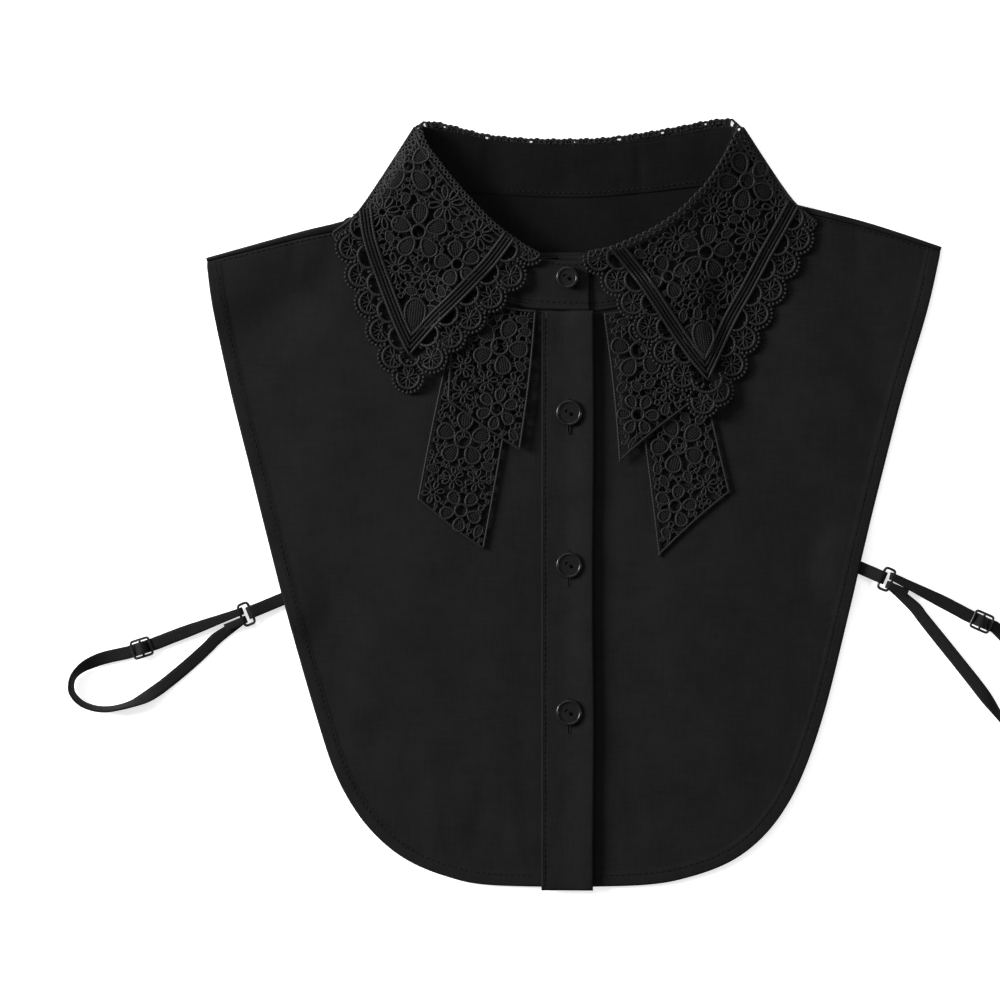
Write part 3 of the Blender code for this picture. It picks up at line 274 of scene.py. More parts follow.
def graded(count, fine_at_end, power=1.8):
    """Shares from 0 to 1 that crowd towards 1 (or towards 0) by a power law mixed with even steps."""
    t = np.linspace(0, 1, count)
    crowded = 1 - (1 - t) ** power
    mixed = 0.35 * t + 0.65 * crowded
    return mixed if fine_at_end else 1 - mixed[::-1]


print("a graded side starts", np.round(graded(6, True), 2))

# %% [markdown]
# ## Finishes
# Everything is black, so the finishes differ mostly in how they catch the light. Cotton scatters it
# and shows a fine weave, lace thread has a soft satin streak along each twist, the buttons are
# glossy, and the elastic has cross ribs. Two finishes are darker copies that paint shade: one of the
# cotton for the neck hollow under the collar, and one of the lace thread for the lower middle cords
# of the leaves' bands. Each pattern is a node group that puts out a colour factor and a height, and
# each material keeps its own Principled shader.

# %% Node helpers and the shared groups


def new_group(name, inputs):
    """An empty shader group that takes the named numbers and a vector, and puts out Tone and Height."""
    group = bpy.data.node_groups.new(name, "ShaderNodeTree")
    group.interface.new_socket("Place", in_out="INPUT", socket_type="NodeSocketVector")
    for key, value in inputs.items():
        socket = group.interface.new_socket(key, in_out="INPUT", socket_type="NodeSocketFloat")
        socket.default_value = value
    for key in ("Tone", "Height"):
        group.interface.new_socket(key, in_out="OUTPUT", socket_type="NodeSocketFloat")
    return group, group.nodes.new("NodeGroupInput"), group.nodes.new("NodeGroupOutput")


def sum_node(tree, operation, first, second=None, third=None):
    """A Math node; each of its inputs is a socket or a number."""
    node = tree.nodes.new("ShaderNodeMath")
    node.operation = operation
    for slot, value in zip(node.inputs, (first, second, third)):
        if value is None:
            continue
        if isinstance(value, (int, float)):
            slot.default_value = value
        else:
            tree.links.new(value, slot)
    return node.outputs[0]


def noise_node(tree, place, scale, detail=2.0, stretch=None):
    """Noise over a place, stretched by a Mapping node where asked."""
    if stretch:
        mapping = tree.nodes.new("ShaderNodeMapping")
        mapping.inputs["Scale"].default_value = stretch
        tree.links.new(place, mapping.inputs["Vector"])
        place = mapping.outputs["Vector"]
    noise = tree.nodes.new("ShaderNodeTexNoise")
    noise.inputs["Scale"].default_value = scale
    noise.inputs["Detail"].default_value = detail
    tree.links.new(place, noise.inputs["Vector"])
    return noise.outputs["Fac"]


def weave_group():
    """Plain weave: two crossed sines of the thread pitch, slubs along both threads, and soft mottling."""
    group, given, out = new_group("plain_weave", {"Threads per metre": 2100.0, "Slub": 0.5})
    split = group.nodes.new("ShaderNodeSeparateXYZ")
    group.links.new(given.outputs["Place"], split.inputs[0])
    turns = sum_node(group, "MULTIPLY", given.outputs["Threads per metre"], math.tau)
    warp = sum_node(group, "SINE", sum_node(group, "MULTIPLY", split.outputs[0], turns))
    weft = sum_node(group, "SINE", sum_node(group, "MULTIPLY", split.outputs[1], turns))
    crossed = sum_node(group, "MULTIPLY", warp, weft)
    up = noise_node(group, given.outputs["Place"], 900.0, 2.0, (1.0, 0.12, 1.0))
    across = noise_node(group, given.outputs["Place"], 900.0, 2.0, (0.12, 1.0, 1.0))
    slub = sum_node(group, "ADD", up, across)
    mottle = noise_node(group, given.outputs["Place"], 55.0, 3.0)
    tone = sum_node(group, "ADD", sum_node(group, "MULTIPLY", slub, given.outputs["Slub"]),
                    sum_node(group, "MULTIPLY", mottle, 0.6))
    group.links.new(sum_node(group, "MULTIPLY_ADD", crossed, 0.06, tone), out.inputs["Tone"])
    group.links.new(sum_node(group, "MULTIPLY_ADD", crossed, 0.35, slub), out.inputs["Height"])
    return group


def twist_group():
    """Twisted thread: stripes slanted round the cord, from the sine of its length and its turn."""
    group, given, out = new_group("thread_twist", {"Turns per metre": 700.0})
    split = group.nodes.new("ShaderNodeSeparateXYZ")
    group.links.new(given.outputs["Place"], split.inputs[0])
    along = sum_node(group, "MULTIPLY", split.outputs[1], given.outputs["Turns per metre"])
    phase = sum_node(group, "MULTIPLY", sum_node(group, "ADD", along, split.outputs[0]), math.tau)
    stripe = sum_node(group, "MULTIPLY_ADD", sum_node(group, "SINE", phase), 0.5, 0.5)
    fuzz = noise_node(group, given.outputs["Place"], 260.0, 3.0, (0.02, 1.0, 1.0))
    group.links.new(sum_node(group, "MULTIPLY_ADD", stripe, 0.55, fuzz), out.inputs["Tone"])
    group.links.new(stripe, out.inputs["Height"])
    return group


def hatch_group():
    """Filling stitches: the brighter of two crossed sets of lines, each a sine's square."""
    group, given, out = new_group("hatched_filling", {"Lines per metre": 900.0})
    split = group.nodes.new("ShaderNodeSeparateXYZ")
    group.links.new(given.outputs["Place"], split.inputs[0])
    turns = sum_node(group, "MULTIPLY", given.outputs["Lines per metre"], math.pi)
    lines = [sum_node(group, "POWER", sum_node(group, "ABSOLUTE", sum_node(
        group, "SINE", sum_node(group, "MULTIPLY", split.outputs[k], turns))), 3.0) for k in (0, 1)]
    crossed = sum_node(group, "MAXIMUM", lines[0], sum_node(group, "MULTIPLY", lines[1], 0.75))
    fuzz = noise_node(group, given.outputs["Place"], 500.0, 2.0)
    group.links.new(sum_node(group, "MULTIPLY_ADD", fuzz, 0.4, sum_node(group, "MULTIPLY", crossed, 0.75)),
                    out.inputs["Tone"])
    group.links.new(crossed, out.inputs["Height"])
    return group


WEAVE, TWIST, HATCH = weave_group(), twist_group(), hatch_group()
print("groups", WEAVE.name, TWIST.name, HATCH.name)

# %% Materials


def finish(name, dark, light, roughness, pattern=None, settings=None, place="Object", bump=0.0,
           specular=0.5, sheen=0.0, coat=0.0):
    """A Principled material whose colour runs from dark to light with the pattern's tone."""
    made = bpy.data.materials.new(name)
    made.use_nodes = True
    tree = made.node_tree
    shader = tree.nodes["Principled BSDF"]
    shader.inputs["Roughness"].default_value = roughness
    shader.inputs["Specular IOR Level"].default_value = specular
    shader.inputs["Sheen Weight"].default_value = sheen
    shader.inputs["Sheen Roughness"].default_value = 0.5
    shader.inputs["Coat Weight"].default_value = coat
    shader.inputs["Coat Roughness"].default_value = 0.08
    coords = tree.nodes.new("ShaderNodeTexCoord")
    spot = coords.outputs[place]
    if pattern is None:
        tone = height = noise_node(tree, spot, 600.0, 3.0)
    else:
        group = tree.nodes.new("ShaderNodeGroup")
        group.node_tree = pattern
        for key, value in (settings or {}).items():
            group.inputs[key].default_value = value
        tree.links.new(spot, group.inputs["Place"])
        tone, height = group.outputs["Tone"], group.outputs["Height"]
    ramp = tree.nodes.new("ShaderNodeValToRGB")
    ramp.color_ramp.elements[0].color = (dark, dark, dark * 1.02, 1)
    ramp.color_ramp.elements[1].color = (light, light, light * 1.02, 1)
    ramp.color_ramp.elements[0].position = 0.25
    ramp.color_ramp.elements[1].position = 0.95
    tree.links.new(tone, ramp.inputs["Fac"])
    tree.links.new(ramp.outputs["Color"], shader.inputs["Base Color"])
    if bump:
        node = tree.nodes.new("ShaderNodeBump")
        node.inputs["Distance"].default_value = bump * MM
        node.inputs["Strength"].default_value = 0.8
        tree.links.new(height, node.inputs["Height"])
        tree.links.new(node.outputs["Normal"], shader.inputs["Normal"])
    return made


cotton = finish("black_cotton_weave", 0.0045, 0.0105, 0.9, WEAVE, bump=0.08, specular=0.07, sheen=0.005)
# A darker copy of the cotton, painted shade: it goes on the back panel's flat patch and on the stand behind
# the neck, down in the hollow under the collar.
shaded_cotton = finish("black_cotton_painted_shade", 0.0028, 0.0066, 0.92, WEAVE, bump=0.08, specular=0.04)
# A darker, less glossy copy of the lace thread for the band's two middle cords, which lie lower between the
# outer cords: painted shade.
shaded_band_thread = finish("black_band_thread", 0.0026, 0.008, 0.6, TWIST, place="UV", bump=0.06, specular=0.08)
thread = finish("black_lace_thread", 0.004, 0.0135, 0.52, TWIST, place="UV", bump=0.07, specular=0.15,
                sheen=0.005)
filling = finish("black_filling_stitch", 0.0016, 0.013, 0.7, HATCH, place="UV", bump=0.3, specular=0.06,
                 sheen=0.003)
sewing = finish("black_sewing_thread", 0.0045, 0.011, 0.7, specular=0.08)
horn = finish("black_button_gloss", 0.006, 0.011, 0.26, specular=0.27, coat=0.08)
elastic = finish("black_elastic_rib", 0.004, 0.011, 0.7, TWIST, {"Turns per metre": 900.0}, "UV", 0.1, 0.08)
enamel = finish("black_enamel", 0.008, 0.014, 0.28, specular=0.5)
print("materials", len(bpy.data.materials))

# %% [markdown]
# ## The front panels
# Each panel is a sheet with four sides: the hem, the armhole edge, the shoulder seam, and the
# centre edge that carries on round the neck. A Coons patch blends the four sides into one grid. Its
# rows crowd towards the hem, where the folded edge and its row of stitches need fine steps.

# %% Edges of the panels


def outer_edge(side, step, inset=0.0):
    """The armhole edge and hem of one half, from the shoulder tip to the centre."""
    tip = (LEFT_SHOULDER if side < 0 else RIGHT_SHOULDER)[0]
    rows = [tip] + [((left if side < 0 else right), y) for y, left, right in SIDE_ROWS] + [(CENTRE_X, HEM_Y)]
    line = spline(rows, step)
    return line - normals_of(line) * -side * (inset * ease((tip[1] - line[:, 1]) / TIP_TAPER))[:, None]


def shoulder_line(side, inset_tip, inset_neck):
    """The shoulder fold from tip to neck, moved in towards the hem by a growing inset."""
    line = SHOULDERS[side]
    inset = inset_tip + (inset_neck - inset_tip) * np.linspace(0, 1, len(line))
    return line - normals_of(line) * (side * inset)[:, None]


EDGES = {side: outer_edge(side, 2.0) for side in (-1, 1)}
CORNER_Y = -150.0


def hem_profile(away, along, seed):
    """Height of a turned hem: rounded edge, raised fold, a dimple at the stitches, and slight puckers."""
    wave = np.random.default_rng(seed).uniform(-1, 1, (5, 3))
    pucker = sum(a * np.sin(along * (0.12 + 0.09 * abs(b)) * (k + 1) + 6 * c) / (k + 2)
                 for k, (a, b, c) in enumerate(wave))
    fold = HEM_RAISE * (1 - ease((away - HEM_WIDTH + 0.5) / 1.1))
    edge = -0.45 * (1 - np.sqrt(np.clip(1 - (1 - np.clip(away / 1.1, 0, 1)) ** 2, 0, 1)))
    stitch = -0.24 * np.exp(-(((away - HEM_STITCH) / 0.55) ** 2))
    return fold + edge + stitch + 0.13 * pucker * np.exp(-(((away - 5.5) / 4.5) ** 2))


Crease = namedtuple("Crease", "x y turn long wide height")
CREASES = {  # soft troughs and ridges: middle, heading in degrees, half lengths and height
    -1: (Crease(-132, 92, 40, 34, 9, -0.9), Crease(-118, 78, 48, 40, 8, 0.6),
         Crease(-112, 20, 62, 52, 13, 0.7),
         Crease(-86, -20, 66, 60, 15, -0.6), Crease(-60, -150, 84, 34, 5, 0.35),
         Crease(-38, -152, 88, 30, 4.5, -0.4),
         Crease(-22, -150, 90, 30, 4, 0.35), Crease(-28, -70, 84, 70, 9, 0.55),
         Crease(-100, -100, 70, 40, 10, 0.4)),
    1: (Crease(146, 84, 130, 36, 9, -0.9), Crease(128, 62, 122, 48, 11, 0.8),
        Crease(104, 20, 112, 60, 13, -0.6),
        Crease(52, -60, 96, 66, 10, 0.6), Crease(34, -146, 92, 34, 5, -0.35),
        Crease(78, -120, 104, 40, 9, 0.5),
        Crease(118, -80, 108, 44, 9, -0.4), Crease(44, 10, 92, 40, 8, -0.5)),
}


def creases(x, y, side):
    """Each crease is a bell across its heading and a wider bell along it, a little bent."""
    height = np.zeros(np.shape(x))
    for row in CREASES[side]:
        turn = math.radians(row.turn)
        u = (x - row.x) * math.cos(turn) + (y - row.y) * math.sin(turn)
        v = -(x - row.x) * math.sin(turn) + (y - row.y) * math.cos(turn)
        v = v + 2.2 * np.sin(u / 19.0 + row.x)
        height += row.height * np.exp(-((u / row.long) ** 2) - (v / row.wide) ** 2)
    return height


print("hem length", round(float(np.linalg.norm(np.diff(EDGES[-1], axis=0), axis=1).sum())))

# %% Front panels


def panel_sides(side):
    """The four sides of a front panel as lines: hem, shoulder seam, centre with neck, armhole."""
    under = PLACKET_LEFT + LAP_LEFT + (0.0 if side < 0 else GAP)
    seam = shoulder_line(side, SEAM_AT_TIP + GAP, SEAM_AT_NECK[side] + GAP)
    edge = EDGES[side]
    edge = edge[(edge[:, 1] < seam[0, 1] - 1.0) & ((edge[:, 0] - under) * side > 0.5)]
    neck = NECKS[side] + normals_of(NECKS[side]) * (side * NECK_SEAM)
    neck = neck[(neck[:, 1] < seam[-1, 1] - 1.0) & ((neck[:, 0] - under) * side > 0.5)]
    corner = int(np.argmin(np.abs(edge[:, 1] - CORNER_Y)))
    hem = np.concatenate([[[under, HEM_Y + 0.2]], edge[corner:][::-1]])
    armhole = np.concatenate([edge[:corner + 1][::-1], seam[:1]])
    inner = np.concatenate([[[under, HEM_Y + 0.2], [under, neck[0, 1]]], neck, seam[-1:]])
    return hem, seam[::-1], inner, armhole


def front_panel(side):
    """The panel's grid lifted onto the layers below, with creases, hem and stitches pressed in."""
    hem, seam, inner, armhole = panel_sides(side)
    across, up = graded(96, True), graded(168, False)
    grid = coons(at_shares(hem, across), at_shares(seam, across),
                 at_shares(inner, up), at_shares(armhole, up))
    x, y = grid[..., 0], grid[..., 1]
    away, share = nearest(grid.reshape(-1, 2), EDGES[side])
    away, along = away.reshape(x.shape), share.reshape(x.shape) * 380
    inside_hem = ease((away - 6) / 16) * ease((112 - y) / 24) * ease((np.abs(x - CENTRE_X) - 6) / 12)
    soft = np.maximum(creases(x, y, side), -0.55) * inside_hem
    z = front_top(x, y) + soft + hem_profile(away, along, 5 + side)
    points = np.stack([x, y, z], axis=2).reshape(-1, 3)
    faces = grid_faces(*x.shape)
    name = "left" if side < 0 else "right"
    mesh = mesh_from(f"cloth_front_{name}", points, [faces if side > 0 else faces[:, ::-1]])
    made = dressed(f"cloth_front_{name}", mesh, cotton, (f"front_{name}",))
    return walled(made, CLOTH, -1.0)


fronts = {side: front_panel(side) for side in (-1, 1)}
print("front panels", [len(o.data.polygons) for o in fronts.values()])

# %% [markdown]
# ## The back panel
# The back panel lies on the table under everything else. Only its shoulders show, where it turns
# over to the front and is sewn to the front panels. So it is one Coons patch with a strip at each
# shoulder that goes through half a turn, and the wall is added to the whole sheet at once.

# %% Back panel


def shoulder_turn(side):
    """Rows of the shoulder's half turn: out by the sine of the turn, up by its versed sine."""
    fold = shoulder_line(side, FOLD_BULGE, FOLD_BULGE)
    seam = shoulder_line(side, SEAM_AT_TIP, SEAM_AT_NECK[side])
    outward = normals_of(fold) * side
    base = back_under(fold[:, 0], fold[:, 1])
    height = front_top(fold[:, 0], fold[:, 1]) + FOLD_RISE - base
    rows = [np.column_stack([fold + outward * FOLD_BULGE * math.sin(t),
                             base + height * (1 - math.cos(t)) / 2])
            for t in np.radians((0, 20, 40, 60, 80, 100, 120, 140, 160, 180))]
    for share in (0.35, 0.7, 1.0):
        place = fold + (seam - fold) * share
        top = front_top(place[:, 0], place[:, 1]) + FOLD_RISE * (1 - share)
        rows.append(np.column_stack([place, top]))
    return np.array(rows)


def back_panel():
    """One sheet of flat patch and turned shoulder strips; strips in cotton, patch darker as painted shade."""
    turns = {side: shoulder_turn(side) for side in (-1, 1)}
    folds = {side: turns[side][0] for side in (-1, 1)}
    neck = spline(BACK_NECK, 2.4)
    neck = neck[(neck[:, 0] > folds[-1][-1, 0] + 1) & (neck[:, 0] < folds[1][-1, 0] - 1)]
    neck[:, 1] += NECK_TUCK * ease((neck[:, 0] + 77) / 10) * ease((90 - neck[:, 0]) / 10)
    top = np.concatenate([folds[-1][:, :2], neck, folds[1][::-1, :2]])
    edges = {side: outer_edge(side, 2.0, BACK_INSET) for side in (-1, 1)}
    low, sides = [], {}
    for side, edge in edges.items():
        edge = edge[edge[:, 1] < folds[side][0, 1] - 1]
        corner = int(np.argmin(np.abs(edge[:, 1] - CORNER_Y)))
        low.append(edge[corner:])
        sides[side] = np.concatenate([edge[:corner + 1][::-1], folds[side][:1, :2]])
    hem = np.concatenate([low[0], low[1][::-1][1:]])
    up = np.linspace(0, 1, 90)
    long = np.concatenate([[0], np.cumsum(np.linalg.norm(np.diff(top, axis=0), axis=1))])
    grid = coons(at_shares(hem, long / long[-1]), top, at_shares(sides[-1], up), at_shares(sides[1], up))
    x, y = grid[..., 0], grid[..., 1]
    points = [np.stack([x, y, back_under(x, y)], axis=2).reshape(-1, 3)]
    faces = [grid_faces(*x.shape)]
    for side, turn in turns.items():
        strip = grid_faces(*turn.shape[:2], start=sum(map(len, points)))
        points.append(turn.reshape(-1, 3))
        faces.append(strip if side < 0 else strip[:, ::-1])
    mesh = mesh_from("cloth_back", np.concatenate(points), faces)
    turned_over = np.arange(len(mesh.polygons)) >= len(faces[0])
    mesh.polygons.foreach_set("material_index", turned_over.astype(np.int32))
    bm = bmesh.new()
    bm.from_mesh(mesh)
    bmesh.ops.remove_doubles(bm, verts=bm.verts, dist=0.02 * MM)
    bmesh.ops.recalc_face_normals(bm, faces=bm.faces)
    bm.to_mesh(mesh)
    bm.free()
    middle = min(mesh.polygons, key=lambda f: (f.center.x, -f.center.y) if f.center.y < -0.1 else (9, 9))
    if middle.normal.z < 0:
        mesh.flip_normals()
    # The flat patch takes the darker cotton: painted shade in the neck hollow under the collar.
    made = dressed("cloth_back", mesh, shaded_cotton, ("back_panel",))
    mesh.materials.append(cotton)
    return walled(made, CLOTH, 1.0)


back = back_panel()
print("back panel", len(back.data.polygons))

# %% [markdown]
# ## Placket and collar stand
# The placket is a folded band that laps over both front edges. Only its left edge is sewn, so its
# right edge stands a little away and throws the dark shadow in the photograph. The stand is the
# upright band of the collar, lying nearly flat behind the neck and rolled up in front.

# %% Placket


def placket():
    """A grid along the centre front whose section has rounded edges and a dimple at the stitches."""
    wide = PLACKET_RIGHT - PLACKET_LEFT
    across = np.unique(np.concatenate([np.linspace(0, 3.4, 13), np.linspace(3.4, wide - 2, 12),
                                       np.linspace(wide - 2, wide, 7)]))
    along = np.linspace(PLACKET_BOTTOM, PLACKET_TOP, 190)
    u, y = np.meshgrid(across, along)
    x = PLACKET_LEFT + u + 0.25 * np.sin(y / 23.0) * ease(u / wide)
    rim = np.minimum(np.minimum(u, wide - u), np.minimum(y - PLACKET_BOTTOM, PLACKET_TOP - y))
    edge = -0.5 * (1 - np.sqrt(np.clip(1 - (1 - np.clip(rim / 0.9, 0, 1)) ** 2, 0, 1)))
    stitch = -0.22 * np.exp(-(((u - 1.7) / 0.5) ** 2)) * (1 + 0.35 * np.sin(y * 1.9))
    lift = 1.5 * ease((u - wide * 0.4) / (wide * 0.55))
    soft = 0.16 * np.sin(y / 9.0 + 1.2 * np.sin(y / 31.0)) * ease((u - 4) / 8)
    soft = soft + 0.1 * np.sin(y / 5.1) * (u < 6)
    z = front_top(np.clip(x, -200, 200), y) + GAP + HEM_RAISE + PLACKET + edge + stitch + lift + soft
    points = np.stack([x, y, z], axis=2).reshape(-1, 3)
    mesh = mesh_from("cloth_placket", points, [grid_faces(*x.shape)])
    made = dressed("cloth_placket", mesh, cotton, ("placket",))
    return walled(made, PLACKET, -1.0)


band = placket()
print("placket", len(band.data.polygons))

# %% Collar stand
STAND_ROWS = (  # lower edge x, y, z and upper edge x, y, z
    (-1.0, 92.4, 4.0, -1.0, 116.4, 6.1), (9.0, 92.2, 4.0, 9.0, 115.6, 6.4),
    (22.0, 93.0, 4.2, 20.0, 117.6, 7.4),
    (37.0, 96.8, 4.4, 35.6, 123.6, 9.2), (57.2, 106.2, 5.0, 54.6, 136.2, 11.3),
    (73.4, 119.9, 5.6, 67.8, 149.6, 11.6), (83.2, 133.7, 6.0, 76.0, 163.6, 10.8),
    (86.6, 145.0, 5.6, 80.2, 173.0, 9.2), (87.4, 148.2, 4.2, 81.0, 176.2, 6.6),
    (86.2, 149.9, 3.4, 79.6, 176.8, 4.4),
    (76.4, 150.0, 3.0, 70.0, 176.2, 3.3), (60.0, 148.4, 3.0, 56.6, 173.8, 3.0),
    (41.3, 146.3, 3.0, 39.6, 171.0, 3.0),
    (18.0, 144.2, 3.0, 18.0, 168.8, 3.0), (0.0, 144.0, 3.0, 0.0, 168.4, 3.0),
    (-19.8, 144.7, 3.0, -19.0, 169.4, 3.0),
    (-39.5, 145.9, 3.0, -37.6, 171.6, 3.0), (-57.3, 146.8, 3.0, -53.4, 174.8, 3.3),
    (-69.6, 147.9, 3.4, -63.4, 176.8, 4.4), (-73.2, 146.2, 4.4, -64.4, 176.0, 6.6),
    (-72.8, 142.2, 5.6, -63.8, 171.4, 9.2), (-71.4, 133.2, 6.0, -58.6, 160.9, 10.8),
    (-62.2, 120.2, 5.6, -49.6, 149.4, 11.6), (-47.3, 106.7, 5.0, -37.6, 135.9, 11.3),
    (-29.0, 97.8, 4.6, -24.4, 124.2, 9.6), (-17.0, 94.2, 5.0, -14.4, 118.0, 8.6),
    (-8.0, 93.2, 5.6, -7.0, 114.9, 8.2),
    (4.0, 92.8, 5.6, 4.0, 113.7, 8.1), (13.6, 92.6, 5.6, 13.0, 113.9, 8.1),
)


def collar_stand():
    """Ruled between its two edges, with upright wrinkles as bells along the band and a fuller top fold."""
    line = spline(STAND_ROWS, 1.3)
    share = np.unique(np.concatenate([np.linspace(0, 0.18, 7), np.linspace(0.18, 0.88, 12),
                                      np.linspace(0.88, 1, 7)]))
    grid = line[:, None, :3] + (line[:, None, 3:] - line[:, None, :3]) * share[None, :, None]
    across = np.gradient(grid, axis=1)
    ahead = np.gradient(grid, axis=0)
    normal = np.cross(ahead, across)
    normal /= np.maximum(np.linalg.norm(normal, axis=2), 1e-9)[..., None]
    along = np.concatenate([[0], np.cumsum(np.linalg.norm(np.diff(line[:, :3], axis=0), axis=1))])
    random = np.random.default_rng(12)
    places, sizes = np.sort(random.uniform(12, along[-1] - 40, 34)), random.uniform(-0.4, 0.5, 34)
    wrinkle = (sizes * np.exp(-(((along[:, None] - places) / random.uniform(2.2, 7.0, 34)) ** 2))).sum(1)
    lift = wrinkle[:, None] * (0.35 + 0.65 * np.sin(math.pi * np.clip(share * 0.9 + 0.05, 0, 1)))[None]
    lift = lift - 0.18 * np.exp(-(((share - 0.075) / 0.02) ** 2))[None]
    lift = lift + 0.3 * np.exp(-(((share - 0.965) / 0.022) ** 2))[None]
    grid = grid + normal * lift[..., None] * np.sign(normal[-1, 5, 2])
    outside = grid + normal * np.sign(normal[-1, 5, 2]) * (STAND + 0.12)
    place, low, high = np.arange(len(line)), *(int(np.argmin(abs(share - at))) for at in (0.1, 0.93))
    front, behind = line[:, 1] < 112, (line[:, 1] > 141) & (np.abs(line[:, 0] - 8) < 72)
    late = front & (place > len(line) / 2)
    seams = [outside[front & (place > 10) & ~late, low], outside[late, low], outside[late, high]]
    seams.append(grid[behind, low] + [0, 0, 0.12])
    made = mesh_from("cloth_stand", grid.reshape(-1, 3), [grid_faces(*grid.shape[:2])])
    if made.polygons[-30].normal.z < 0:
        made.flip_normals()
    piece = dressed("cloth_stand", made, cotton, ("collar_stand",))
    # The stand's part behind the neck, beyond y = 140, takes the darker cotton: painted shade in the neck
    # hollow.
    made.materials.append(shaded_cotton)
    back_faces = grid_faces(*grid.shape[:2])[:, 0] // grid.shape[1]
    made.polygons.foreach_set("material_index", (line[back_faces, 1] > 140).astype(np.int32))
    return walled(piece, STAND, 1.0), seams


stand, STAND_SEAMS = collar_stand()
print("stand", len(stand.data.polygons))

# %% [markdown]
# ## Lace
# This lace has no net behind it. Flowers, leaves and rings are outlined with thick cord, filled
# with satin stitch, and held together by short bars of thread with open gaps between them. It could
# be a picture with see-through gaps, but real cords catch the light and throw small shadows. So
# each piece is planned flat as lines, rings and petals, and then every line becomes a round cord on
# the surface where the lace lies.

# %% A collector of cords, beads and petals


def circle(x, y, radius, count=None):
    """A ring of points: centre plus radius times cosine and sine of the turn."""
    count = count or max(8, round(math.tau * radius / 0.85))
    turn = np.arange(count) * math.tau / count
    return np.stack([x + radius * np.cos(turn), y + radius * np.sin(turn)], axis=1)


